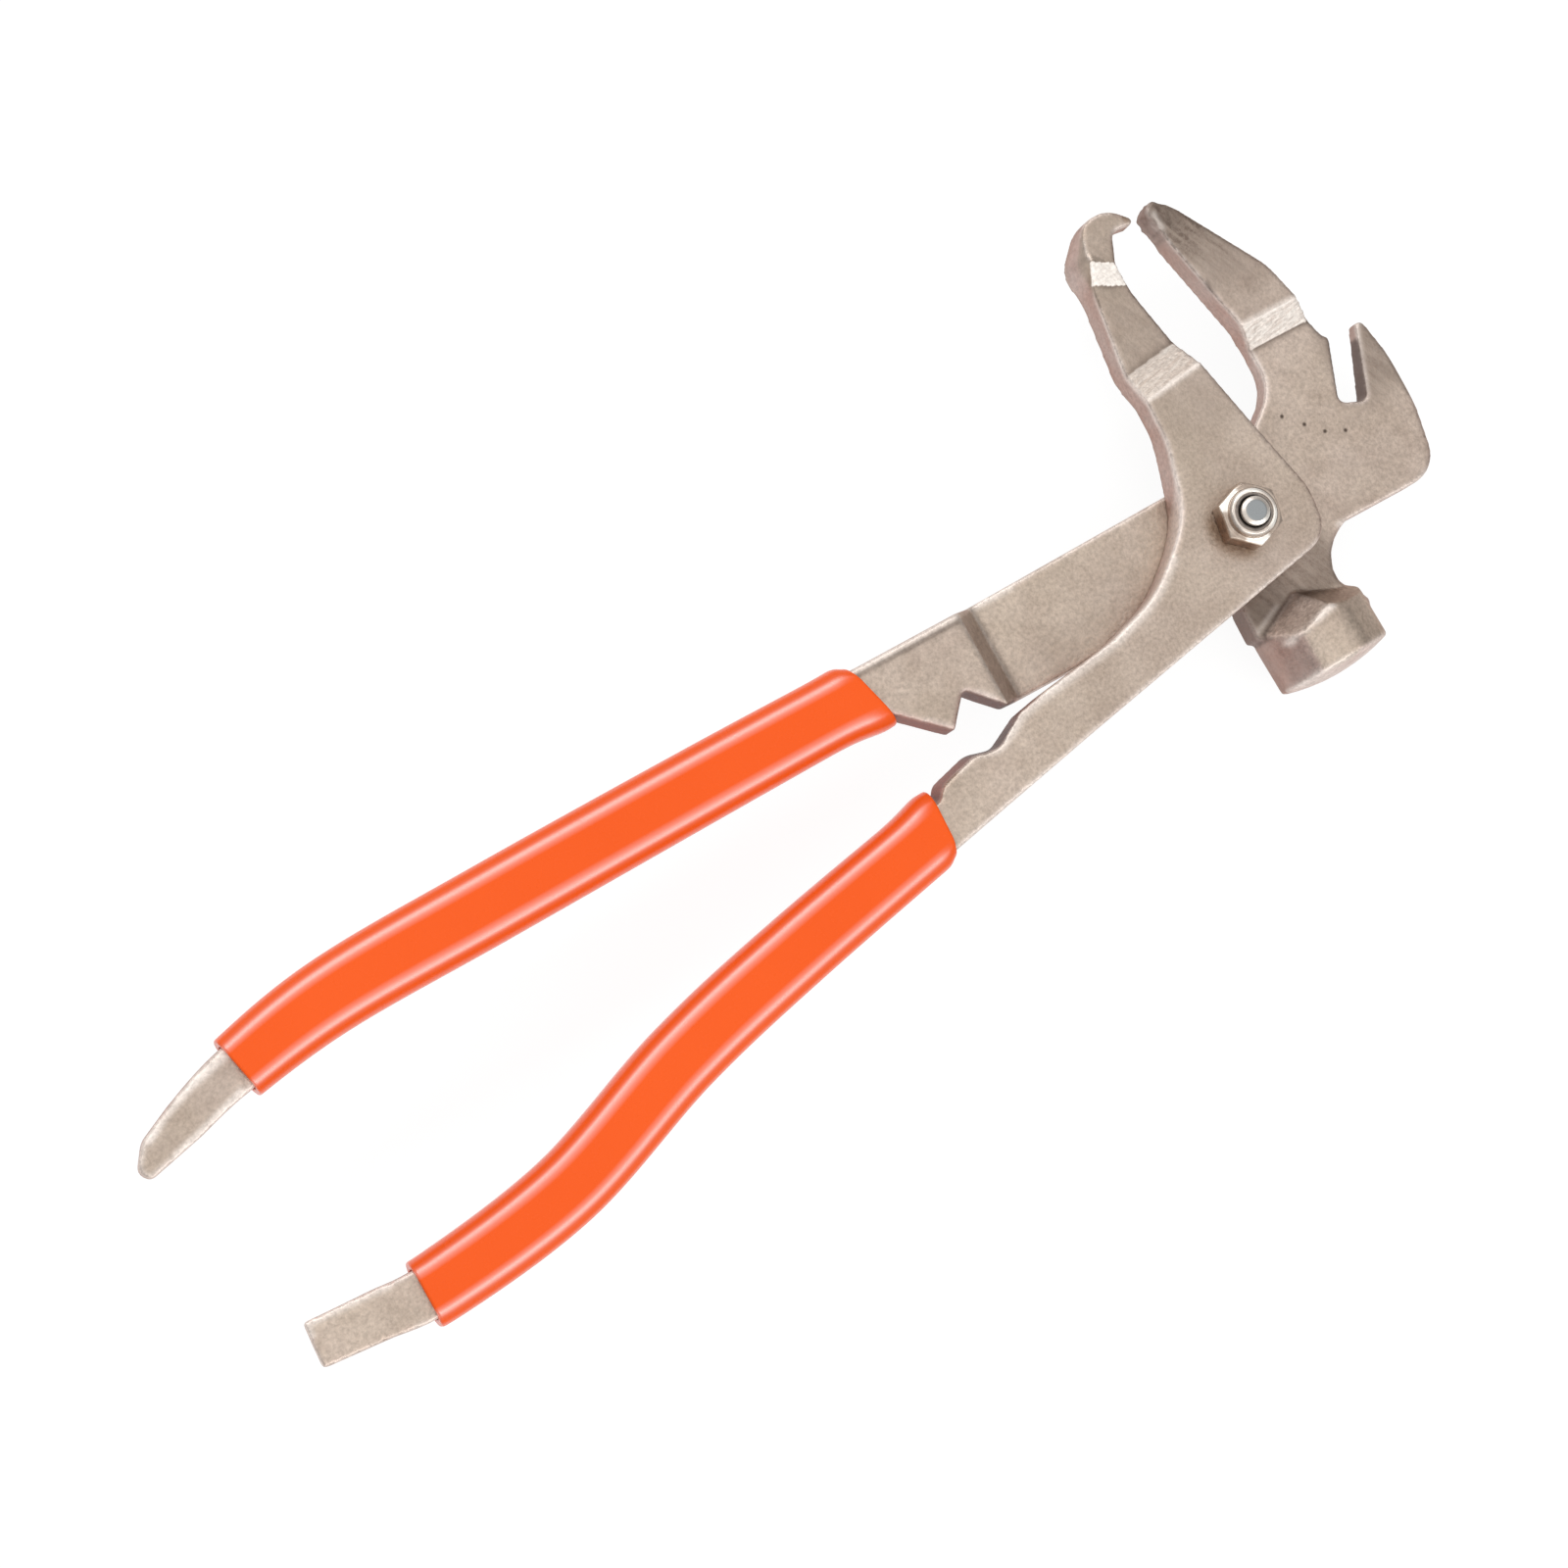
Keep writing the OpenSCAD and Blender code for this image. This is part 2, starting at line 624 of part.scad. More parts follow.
module hammer_grip() {
    color(orange) difference() {
        intersection() {
            grip_skin(fixed_run);
            grip_span(fixed_grip, fixed_slant, fixed_front[1]);
        }
        intersection() {
            union() {
                plan(tang_points);
                plan(ribbon(fixed_run, grip_fit));
            }
            side_view(fixed_view(grip_fit));
        }
    }
}

module jaw_grip() {
    color(orange) difference() {
        intersection() {
            grip_skin(moving_run);
            grip_span(moving_grip, [0, 0], 0);
        }
        intersection() {
            union() {
                plan(lever_points);
                plan(ribbon(moving_run, grip_fit));
            }
            side_view(moving_view(grip_fit));
        }
    }
}

translate(-origin) hammer_lever();
translate(-origin) jaw_lever();
translate(-origin) pivot_bolt();
translate(-origin) lock_nut();
translate(-origin) nut_ring();
translate(-origin) hammer_grip();
translate(-origin) jaw_grip();
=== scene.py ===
# Wheel weight pliers: two forged levers on one bolt, with a nut and two dipped grips.
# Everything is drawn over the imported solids, in metres, and turns with the lever that carries it.
import json
import math

import bmesh
import bpy
import numpy as np
from mathutils import Matrix, Vector, noise
from mathutils.bvhtree import BVHTree
from mathutils.kdtree import KDTree


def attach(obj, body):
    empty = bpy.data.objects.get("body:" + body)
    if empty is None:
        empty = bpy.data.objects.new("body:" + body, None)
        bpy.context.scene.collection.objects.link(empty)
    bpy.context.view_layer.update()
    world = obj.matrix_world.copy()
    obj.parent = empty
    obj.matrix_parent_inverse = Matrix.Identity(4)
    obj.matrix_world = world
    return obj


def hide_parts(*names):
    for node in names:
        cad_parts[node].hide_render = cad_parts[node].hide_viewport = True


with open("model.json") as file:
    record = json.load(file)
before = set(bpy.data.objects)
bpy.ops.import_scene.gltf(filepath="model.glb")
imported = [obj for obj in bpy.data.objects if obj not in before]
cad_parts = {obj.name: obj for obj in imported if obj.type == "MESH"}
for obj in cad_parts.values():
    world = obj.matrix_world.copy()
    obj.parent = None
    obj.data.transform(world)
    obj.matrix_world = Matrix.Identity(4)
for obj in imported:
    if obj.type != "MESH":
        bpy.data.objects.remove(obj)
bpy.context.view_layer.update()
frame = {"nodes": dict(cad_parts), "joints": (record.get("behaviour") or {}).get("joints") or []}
millimetre = 0.001
jointHeight = 3.6  # millimetres from the plane where the levers meet up to the joint's point
pivot = Vector(frame["joints"][0]["pos_m"]) - Vector((0, 0, jointHeight)) * millimetre
scene = bpy.context.scene
print("frame loaded:", len(frame["nodes"]), "solids")


def place(x, y, z):  # millimetres from the pivot's axis and the plane where the levers meet
    return pivot + Vector((x, y, z)) * millimetre


def takeUp(piece):  # the only selected object, ready for an operator
    if bpy.context.object and bpy.context.object.mode != "OBJECT":
        bpy.ops.object.mode_set(mode="OBJECT")
    bpy.ops.object.select_all(action="DESELECT")
    piece.select_set(True)
    bpy.context.view_layer.objects.active = piece


def settle(piece):  # place, turn and scale go into the mesh
    takeUp(piece)
    bpy.ops.object.transform_apply(location=True, rotation=True, scale=True)


def shapeWith(piece, kind, **values):
    takeUp(piece)
    modifier = piece.modifiers.new(kind.title(), kind)
    for name, value in values.items():
        setattr(modifier, name, value)
    bpy.ops.object.modifier_apply(modifier=modifier.name)


def feed(tree, socket, value):  # a link where the value comes from another node, else a plain number or colour
    if isinstance(value, bpy.types.NodeSocket):
        tree.links.new(value, socket)
    else:
        socket.default_value = value


def addNode(tree, kind, settings=None, **inputs):  # an input is given by its name, or as i and its number
    node = tree.nodes.new(kind)
    for name, value in (settings or {}).items():
        setattr(node, name, value)
    for name, value in inputs.items():
        numbered = name[0] == "i" and name[1:].isdigit()
        feed(tree, node.inputs[int(name[1:]) if numbered else name], value)
    return node


def tint(red, green, blue):  # a colour as seen on screen, turned into linear light
    parts = [part / 255 for part in (red, green, blue)]
    return tuple(part / 12.92 if part < 0.0404 else ((part + 0.055) / 1.055) ** 2.4 for part in parts) + (1,)


def blendColour(tree, amount, first, second, way="MIX"):
    settings = {"data_type": "RGBA", "blend_type": way}
    return addNode(tree, "ShaderNodeMix", settings, i0=amount, i6=first, i7=second).outputs[2]


def sumUp(tree, way, first, second, clamp=False):
    return addNode(tree, "ShaderNodeMath", {"operation": way, "use_clamp": clamp}, i0=first, i1=second).outputs[0]


def between(tree, value, low, high, fromLow=0.0, fromHigh=1.0):  # stretches fromLow and fromHigh to low and high
    ends = {"Value": value, "From Min": fromLow, "From Max": fromHigh, "To Min": low, "To Max": high}
    return addNode(tree, "ShaderNodeMapRange", **ends).outputs["Result"]


def newGroup(name, inputs, outputs):
    group = bpy.data.node_groups.new(name, "ShaderNodeTree")
    for way, sockets in (("INPUT", inputs), ("OUTPUT", outputs)):
        for label, kind in sockets:
            group.interface.new_socket(label, in_out=way, socket_type=kind)
    return group, group.nodes.new("NodeGroupInput"), group.nodes.new("NodeGroupOutput")


grainValues = {  # each noise, and the part of its range that runs from dark to light
    "fine": {"Detail": 3.0, "Roughness": 0.62}, "fineRange": (0.3, 0.7),
    "broad": {"Detail": 5.0, "Roughness": 0.6}, "broadRange": (0.32, 0.68),
    "drawn": {"Detail": 3.0, "Roughness": 0.6}, "drawnRange": (0.35, 0.65),
}


def grainGroup(values):  # the fine pitted grain of a tumbled forging, and the broad cloudiness over it
    group, given, result = newGroup(
        "metalGrain",
        [("Coordinates", "NodeSocketVector"), ("Grain", "NodeSocketFloat"), ("Cloud", "NodeSocketFloat")],
        [("Speckle", "NodeSocketFloat"), ("Cloudiness", "NodeSocketFloat")],
    )
    where = given.outputs["Coordinates"]
    for label, count, kind in (("Speckle", "Grain", "fine"), ("Cloudiness", "Cloud", "broad")):
        pattern = addNode(group, "ShaderNodeTexNoise", Vector=where, Scale=given.outputs[count], **values[kind])
        feed(group, result.inputs[label], between(group, pattern.outputs["Fac"], 0, 1, *values[kind + "Range"]))
    return group


grain = grainGroup(grainValues)


def useGrain(tree, where, look, cloud="cloud"):
    given = {"Coordinates": where, "Grain": look["grain"], "Cloud": look[cloud]}
    node = addNode(tree, "ShaderNodeGroup", {"node_tree": grain}, **given)
    return node.outputs["Speckle"], node.outputs["Cloudiness"]


def mark(tree, name):  # how far a surface point has this mark, from 0 to 1
    return addNode(tree, "ShaderNodeAttribute", {"attribute_name": name}).outputs["Fac"]


def streaks(tree, where, look):  # noise drawn out along one direction
    turned = addNode(
        tree, "ShaderNodeMapping", {"vector_type": "TEXTURE"},
        Vector=where, Rotation=(0, 0, look["turn"] - math.pi / 2), Scale=(1, look["long"], 1),
    )
    drawn = addNode(tree, "ShaderNodeTexNoise", Vector=turned.outputs[0], Scale=look["count"], **grainValues["drawn"])
    return between(tree, drawn.outputs["Fac"], 0, 1, *grainValues["drawnRange"])


def newMaterial(name, look):  # with the values that are the same all over set on the shader itself
    material = bpy.data.materials.new(name)
    material.use_nodes = True
    tree = material.node_tree
    shader = tree.nodes["Principled BSDF"]
    for socket, value in look["sockets"].items():
        shader.inputs[socket].default_value = value
    return material, tree, shader, addNode(tree, "ShaderNodeTexCoord").outputs["Object"]


def forgedSteel(name, look):
    material, tree, shader, where = newMaterial(name, look)

    def times(first, second, clamp=False):
        return sumUp(tree, "MULTIPLY", first, second, clamp)

    def cover(colour, share, coat):  # the coat over the colour, as far as the share says
        return blendColour(tree, share, colour, coat)

    speckle, cloud = useGrain(tree, where, look)
    patches = useGrain(tree, where, look, "patches")[1]
    edge, wall, cut = mark(tree, "edgeLight"), mark(tree, "sideWall"), mark(tree, "cutShade")
    paintedShadeAndGrime, wear, stain = mark(tree, "paintedShadeAndGrime"), mark(tree, "wear"), mark(tree, "stain")
    band, level = between(tree, mark(tree, "groundBand"), 0, 1, *look["bandEdge"]), mark(tree, "bandLevel")
    scratch, rub = streaks(tree, where, look["scratches"]), streaks(tree, where, look["rubs"])

    colour = cover(look["dull"], cloud, look["bright"])
    colour = cover(colour, between(tree, patches, 0, look["oliveShare"]), look["olive"])
    # walls: a painted mauve reflection, by the way they face
    colour = cover(colour, times(wall, look["wallShare"]), cover(look["wallRed"], cloud, look["wall"]))
    # painted shade on the walls of the notch, the tooth and the wave
    colour = cover(colour, times(cut, look["cutShare"]), look["cut"])
    rubbed = times(between(tree, speckle, *look["rubGrain"]), between(tree, rub, *look["rubStreak"]))
    # worn colour: rubbed plating, and a painted shadow on the neck
    colour = cover(colour, times(wear, rubbed, True), look["wornAndShade"])
    colour = cover(colour, times(stain, between(tree, cloud, *look["stainPatches"])), look["stain"])
    # painted shade in corners, creases and under the jaw lever, with dirt
    colour = cover(colour, times(paintedShadeAndGrime, look["shadeAndGrimeShare"]), look["shadeAndGrimeColour"])
    scratched = times(sumUp(tree, "SUBTRACT", 1.0, scratch), between(tree, level, *look["scratchFade"]))
    colour = cover(colour, times(band, level, True), cover(look["ground"], scratched, look["scratch"]))
    # edge wear, with painted highlights
    colour = cover(colour, times(edge, between(tree, cloud, *look["edgePatches"])), look["edge"])
    for spot in look["dots"]:
        away = addNode(tree, "ShaderNodeVectorMath", {"operation": "DISTANCE"}, i0=where, i1=place(*spot))
        colour = cover(colour, between(tree, away.outputs["Value"], *look["dotFade"]), look["shadeAndGrimeColour"])
    shade = between(tree, speckle, *look["shade"])
    shades = addNode(tree, "ShaderNodeCombineColor", Red=shade, Green=shade, Blue=shade)
    feed(tree, shader.inputs["Base Color"], blendColour(tree, 1.0, colour, shades.outputs[0], "MULTIPLY"))
    feed(tree, shader.inputs["Roughness"], between(tree, speckle, *look["roughness"]))

    # rubbed and ground places, and places with painted highlights or painted shade, mirror less of the studio, so that
    # their own colour shows
    bare = times(band, between(tree, level, *look["bandPlain"]))
    marked = sumUp(tree, "ADD", times(cut, look["cutPlain"]), times(paintedShadeAndGrime, look["shadeAndGrimePlain"]))
    plain = sumUp(tree, "ADD", sumUp(tree, "ADD", edge, bare), marked)
    feed(tree, shader.inputs["Metallic"], between(tree, plain, *look["metallic"]))
    bump = addNode(tree, "ShaderNodeBump", Height=speckle, Strength=look["bump"], Distance=look["bumpDepth"])
    feed(tree, shader.inputs["Normal"], bump.outputs["Normal"])
    return material


steelLook = {
    "bright": tint(202, 185, 172),  # cleaner patches of the plated faces
    "dull": tint(178, 160, 147),  # cloudier patches
    "olive": tint(194, 179, 158),  # faint yellowish cast here and there
    "wall": tint(206, 187, 180),  # walls: a painted mauve reflection, by the way they face
    "wallRed": tint(196, 164, 154),  # redder patches on them
    "cut": tint(138, 88, 78),  # painted shade on the walls of the notch and the wave
    "wornAndShade": tint(118, 103, 93),  # dull, rubbed plating of the jaws; also a painted shadow on the neck
    "stain": tint(134, 104, 74),  # brown round the nut
    "shadeAndGrimeColour": tint(58, 46, 40),  # painted shade in corners, creases and under the jaw lever, with dirt; also the punch marks
    "ground": tint(250, 243, 235),  # bands ground bright
    "scratch": tint(214, 200, 190),  # the scratches across them
    "edge": tint(246, 236, 228),  # edges rubbed bright, with painted highlights along them
    "grain": 1500.0, "cloud": 110.0, "patches": 42.0,  # how many for each metre
    "scratches": {"turn": 0.26, "count": 2200.0, "long": 12.0},  # direction, how many for each metre, length
    "rubs": {"turn": -1.14, "count": 900.0, "long": 9.0},  # the same for the streaks along the fixed jaw
    "oliveShare": 0.35, "wallShare": 0.9, "cutShare": 0.95, "shadeAndGrimeShare": 0.75,  # how much each one covers at most
    "shade": (0.78, 1.14),  # darkest and lightest grain
    "rubGrain": (0.5, 1.15), "rubStreak": (0.68, 1.15),  # how unevenly the worn places are rubbed
    "stainPatches": (0.3, 1.0), "edgePatches": (0.6, 0.95),
    "bandEdge": (0.35, 0.65),  # the smoothed mark is cut off here, so that a band's edge stays crisp
    "scratchFade": (1, 0.4, 1.0, 1.6),  # brighter bands have fewer scratches
    "dots": ((18.06, 12.65, 0), (21.02, 9.6, 0), (23.75, 6.86, 0), (27.2, 5.31, 0)),  # four small punch marks
    "dotFade": (0.85, 0, 0.0002, 0.0005),  # dark within 0.2 mm, gone at 0.5 mm
    "roughness": (0.36, 0.48),
    "metallic": (0.9, 0.1, 0, 2),
    "bandPlain": (1, 2, 0.9, 1.6), "cutPlain": 1.6, "shadeAndGrimePlain": 1.3,  # how far each one takes the metallic look away
    "bump": 0.6, "bumpDepth": 0.00006,
    "sockets": {"IOR": 1.25, "Specular Tint": (0.55, 0.45, 0.42, 1)},
}
steel = forgedSteel("forgedSteel", steelLook)


def turnedMetal(name, look):
    material, tree, shader, where = newMaterial(name, look)
    speckle, cloud = useGrain(tree, where, look)
    colour = blendColour(tree, cloud, look["dull"], look["plain"])
    # painted brown reflection on the nut's flanks
    if "brownReflection" in look:
        colour = blendColour(tree, mark(tree, "brownReflection"), colour, blendColour(tree, cloud, look["brownReflection"], look["paleBrownReflection"]))
    # dark is painted shade in the gaps; on the zinc, bright is painted highlight
    for kind in ("bright", "cool", "dark"):
        if kind in look:
            colour = blendColour(tree, mark(tree, kind), colour, look[kind])
    feed(tree, shader.inputs["Base Color"], colour)
    feed(tree, shader.inputs["Roughness"], between(tree, speckle, *look["roughness"]))
    return material


zincLook = {
    "plain": tint(196, 180, 166), "dull": tint(168, 150, 136),  # clean and cloudy patches
    "bright": tint(255, 250, 242),  # where it mirrors the light
    "brownReflection": tint(84, 54, 38), "paleBrownReflection": tint(150, 112, 88),  # painted brown reflection on the nut's flanks, in darker and paler patches
    "cool": tint(150, 153, 154),  # the bolt's flat end
    "dark": tint(30, 26, 24),  # painted shade in the gaps between bolt, ring and collar
    "grain": 4000.0, "cloud": 700.0, "roughness": (0.24, 0.36), "sockets": {"Metallic": 0.85},
}
zinc = turnedMetal("zincPlate", zincLook)
nylonLook = {
    "plain": tint(150, 138, 128), "dull": tint(96, 86, 80),
    "bright": tint(200, 190, 182),  # worn outer rim
    "dark": tint(20, 17, 16),  # painted shade on the inner rim, by the thread
    "grain": 4000.0, "cloud": 700.0, "roughness": (0.35, 0.5), "sockets": {"Metallic": 0.3},
}
nylon = turnedMetal("lockingRing", nylonLook)


def dippedVinyl(name, look):
    material, tree, shader, where = newMaterial(name, look)
    speckle, cloud = useGrain(tree, where, look)
    feed(tree, shader.inputs["Base Color"], blendColour(tree, cloud, look["deep"], look["colour"]))
    feed(tree, shader.inputs["Roughness"], between(tree, speckle, *look["roughness"]))
    feed(tree, shader.inputs["Coat Weight"], mark(tree, "shoulder"))  # the rounded edges are the glossiest
    return material


vinylLook = {
    "colour": tint(234, 89, 27), "deep": tint(231, 86, 24),  # two patches that hardly differ
    "grain": 300.0, "cloud": 30.0, "roughness": (0.24, 0.3),
    "sockets": {"Specular IOR Level": 0.15, "Coat IOR": 2.6, "Coat Roughness": 0.38},
}
vinyl = dippedVinyl("dippedVinyl", vinylLook)
print("materials made")


def nodeCopy(name, node):
    solid = frame["nodes"][node]
    piece = bpy.data.objects.new(name, solid.data.copy())
    scene.collection.objects.link(piece)
    takeUp(piece)
    bpy.ops.object.mode_set(mode="EDIT")
    bpy.ops.mesh.select_all(action="SELECT")
    bpy.ops.mesh.remove_doubles(threshold=0.002 * millimetre)
    bpy.ops.mesh.customdata_custom_splitnormals_clear()
    bpy.ops.object.mode_set(mode="OBJECT")
    piece.data.materials.clear()
    return piece


def cutOff(piece, spot, away):  # cuts along a plane, drops what lies on its far side and closes the cut
    takeUp(piece)
    bpy.ops.object.mode_set(mode="EDIT")
    bpy.ops.mesh.select_all(action="SELECT")
    bpy.ops.mesh.bisect(plane_co=place(*spot), plane_no=away, use_fill=True, clear_outer=True)
    bpy.ops.object.mode_set(mode="OBJECT")


def pick(piece, kind, test):  # selects the edges or the faces that pass the test
    bpy.ops.mesh.select_mode(type=kind)
    bpy.ops.mesh.select_all(action="DESELECT")
    grid = bmesh.from_edit_mesh(piece.data)
    for part in grid.edges if kind == "EDGE" else grid.faces:
        part.select_set(test(part))
    bmesh.update_edit_mesh(piece.data)


def slab(name, outline, low, high):  # a flat block with this outline, in millimetres from the pivot
    bpy.ops.object.select_all(action="DESELECT")
    bpy.ops.mesh.primitive_circle_add(vertices=len(outline), radius=millimetre, fill_type="NGON")
    piece = bpy.context.object
    piece.name = name
    for vertex, (x, y) in zip(piece.data.vertices, outline):
        vertex.co = place(x, y, low)
    bpy.ops.object.mode_set(mode="EDIT")
    bpy.ops.mesh.select_all(action="SELECT")
    bpy.ops.mesh.extrude_region_move(TRANSFORM_OT_translate={"value": (0, 0, (high - low) * millimetre)})
    bpy.ops.mesh.select_all(action="SELECT")
    bpy.ops.mesh.normals_make_consistent(inside=False)
    bpy.ops.object.mode_set(mode="OBJECT")
    return piece


def joinInto(piece, *others):
    takeUp(piece)
    for other in others:
        other.select_set(True)
    bpy.ops.object.join()


def spread(a, b, spacing):  # evenly spaced points from a to b, with the spacing in millimetres
    count = max(2, int((b - a).length / (spacing * millimetre)) + 1)
    return [a.lerp(b, i / (count - 1)) for i in range(count)]


def alongLine(points, spacing):  # points along a drawn line, in millimetres from the pivot
    return [spot for first, last in zip(points, points[1:]) for spot in spread(place(*first), place(*last), spacing)]


def nearness(spots):
    tree = KDTree(max(1, len(spots)))
    for i, spot in enumerate(spots or [Vector((9, 9, 9))]):  # one far point stands for none
        tree.insert(spot, i)
    tree.balance()
    return tree


def closeTo(tree, spot, reach):  # 1 at the nearest of the tree's points, 0 from reach in millimetres on
    return max(0.0, 1 - tree.find(spot)[2] / (reach * millimetre))


def rise(value, start, full):  # 0 before start, 1 past full, smooth between, and full may be the lower one
    t = min(1.0, max(0.0, (value - start) / (full - start)))
    return t * t * (3 - 2 * t)


def window(value, low, high, soft):  # 1 between low and high, 0 outside, with soft ends
    return rise(value, low - soft, low + soft) * (1 - rise(value, high - soft, high + soft))


def soften(piece, size):  # an even mesh with worn edges, and a copy of the mesh as it was
    source = piece.data.copy()
    shapeWith(piece, "REMESH", mode="VOXEL", voxel_size=size["voxel"], adaptivity=0.0, use_smooth_shade=True)
    for lean in size.get("leans", []):
        leanWall(piece, **lean)
    shapeWith(piece, "SMOOTH", factor=0.5, iterations=size["passes"])
    for patch in size.get("rounded", []):
        roundPatch(piece, **patch)
    for name, change in (("pinch", pinch), ("relief", relieve), ("rough", roughen)):
        if name in size:
            change(piece, **size[name])
    return source


def relieve(piece, line, reach, height, foot, slack):  # the lower edge along this line is chamfered, from its foot up
    tree = nearness(alongLine([(x, y, 0) for x, y in line], 0.2))
    for vertex in piece.data.vertices:
        x, y, z = (vertex.co - pivot) / millimetre
        slope = foot + height * (1 - tree.find(place(x, y, 0))[2] / (reach * millimetre))
        if foot - slack < z < slope:
            vertex.co.z += (slope - z) * millimetre


def pinch(piece, middle, before, after, reach, fade):  # the slope across the lever gets narrower about its middle line
    for vertex in piece.data.vertices:
        x, y, z = (vertex.co - pivot) / millimetre
        off = abs(x - middle)
        if off < reach and z > fade[0]:
            moved = off * after / before
            if off >= before:
                moved = after + (off - before) * (reach - after) / (reach - before)
            vertex.co.x += (moved - off) * math.copysign(1, x - middle) * rise(z, *fade) * millimetre


def roughen(piece, spot, reach, depth, dents, seed):  # dents in a battered tip, so many for each metre
    noise.seed_set(seed)  # the same dents in each run
    for vertex in piece.data.vertices:
        x, y, z = (vertex.co - pivot) / millimetre
        share = 1 - rise(math.hypot(x - spot[0], y - spot[1]), reach * 0.5, reach)
        if share > 0:
            vertex.co += noise.noise_vector(vertex.co * dents) * depth * share * millimetre


def leanWall(piece, line, reach, way, foot, top, steps=12):  # a wall moves by each point's amount at top, not at foot
    spots, amounts = [], []
    for (x0, y0, a0), (x1, y1, a1) in zip(line, line[1:]):
        for i in range(steps):
            spots.append(place(x0 + (x1 - x0) * i / steps, y0 + (y1 - y0) * i / steps, 0))
            amounts.append(a0 + (a1 - a0) * i / steps)
    tree = nearness(spots)
    for vertex in piece.data.vertices:
        x, y, z = (vertex.co - pivot) / millimetre
        spot, index, away = tree.find(place(x, y, 0))
        share = max(0.0, 1 - away / (reach * millimetre)) * min(1.0, max(0.0, (z - foot) / (top - foot)))
        vertex.co += Vector(way) * amounts[index] * share * millimetre


def roundPatch(piece, line, reach, passes):  # the edge near this line is worn rounder
    tree = nearness(alongLine(line, 0.3))
    group = piece.vertex_groups.new(name="wornAndShade")
    for vertex in piece.data.vertices:
        share = rise(1 - tree.find(vertex.co)[2] / (reach * millimetre), 0, 0.5)
        if share > 0:
            group.add([vertex.index], share, "REPLACE")
    shapeWith(piece, "SMOOTH", factor=0.5, iterations=passes, vertex_group="wornAndShade")
    piece.vertex_groups.clear()


def evenOut(mesh, values, passes):  # spreads each value over its neighbours, so that a mark's edge runs smoothly
    ends = np.empty(len(mesh.edges) * 2, dtype=np.int32)
    mesh.edges.foreach_get("vertices", ends)
    first, second = ends[::2], ends[1::2]
    count = len(mesh.vertices)
    total = np.bincount(first, minlength=count) + np.bincount(second, minlength=count)
    values = np.array(values)
    for i in range(passes):
        around = np.bincount(first, values[second], count) + np.bincount(second, values[first], count)
        values = (values + around / np.maximum(total, 1)) / 2
    return values


def addMarks(piece, marks):
    for name, values in marks.items():
        attribute = piece.data.attributes.new(name, "FLOAT", "POINT")
        attribute.data.foreach_set("value", values)


far = 999.0  # millimetres, for a limit that is left open
slanted = (0.7, 0.96)  # how far up the ground slopes look


def inside(spot, limits):  # whether all that the limits name lies between them
    return all(low < spot[name] < high for name, (low, high) in limits.items())


def spotAt(co, normal, planes):  # what a zone may ask about a point of the surface
    x, y, z = (co - pivot) / millimetre
    spot = {
        "x": x, "y": y, "z": z, "normalX": normal.x, "normalY": normal.y, "normalZ": normal.z,
        "away": math.hypot(x, y), "turn": math.degrees(math.atan2(y, x)) % 360,
    }
    for name, (origin, way) in planes.items():
        spot[name] = (x - origin[0]) * way[0] + (y - origin[1]) * way[1] + (z - origin[2]) * way[2]
    return spot


def paintZones(zones, spot):  # each zone adds its marks, or counts where it is the strongest
    painted = dict.fromkeys(("wear", "dull", "band", "cut", "deep", "dim", "shine", "stain", "wall", "wallEdge"), 0.0)
    for way, marks, limits, fades in zones:
        if inside(spot, limits):
            share = math.prod(rise(spot[name], start, full) for name, start, full in fades)
            for name, level in marks.items():
                painted[name] = painted[name] + level * share if way == "add" else max(painted[name], level * share)
    return painted


markValues = {
    "sharp": 24,  # degrees between two faces, from which their edge is marked
    "front": 0.6, "sideways": 0.45,  # a shaded edge: how far up one face looks, and how far towards +X the other
    "spacing": 0.3, "drawnSpacing": 0.2,  # millimetres between the points that stand for an edge or a drawn line
    "steep": 0.3,  # a face that looks up or down by less is a wall
    "faceEdge": 1.3,  # edge wear and painted highlights reach wider on the faces
    "edgeCurve": 0.7, "cornerCurve": 1.5,  # how quickly the rubbed and painted-light edges, and the painted shade in corners, fade
    "shaded": 0.45, "shadedReach": 0.5,
    "drawn": 1.5,  # drawn lines stay full over a third of their width
    "wallWear": 0.75, "cutEdge": 0.8,  # how much less walls are worn, and how much less light is painted on the edges of the shade-painted cuts
    "passes": {"sideWall": 5, "groundBand": 5, "cutShade": 5, "edgeLight": 2, "paintedShadeAndGrime": 2},
}


def sharpEdges(source, covered):  # points along the solid's edges: light ones, shaded ones and inner corners
    found = bmesh.new()
    found.from_mesh(source)
    light, shaded, inner = [], [], []
    for edge in found.edges:
        if len(edge.link_faces) != 2 or edge.calc_face_angle(0) < math.radians(markValues["sharp"]):
            continue
        a, b = edge.verts[0].co, edge.verts[1].co
        if any(inside(spotAt((a + b) / 2, edge.link_faces[0].normal, {}), limits) for limits in covered):
            continue
        front = max(face.normal.z for face in edge.link_faces) > markValues["front"]
        away = min(edge.link_faces, key=lambda face: face.normal.z).normal
        spots = spread(a, b, markValues["spacing"])
        if not edge.is_convex:
            inner += spots
        elif front and away.x > markValues["sideways"]:
            shaded += spots
        elif front:
            light += spots
    found.free()
    return light, shaded, inner


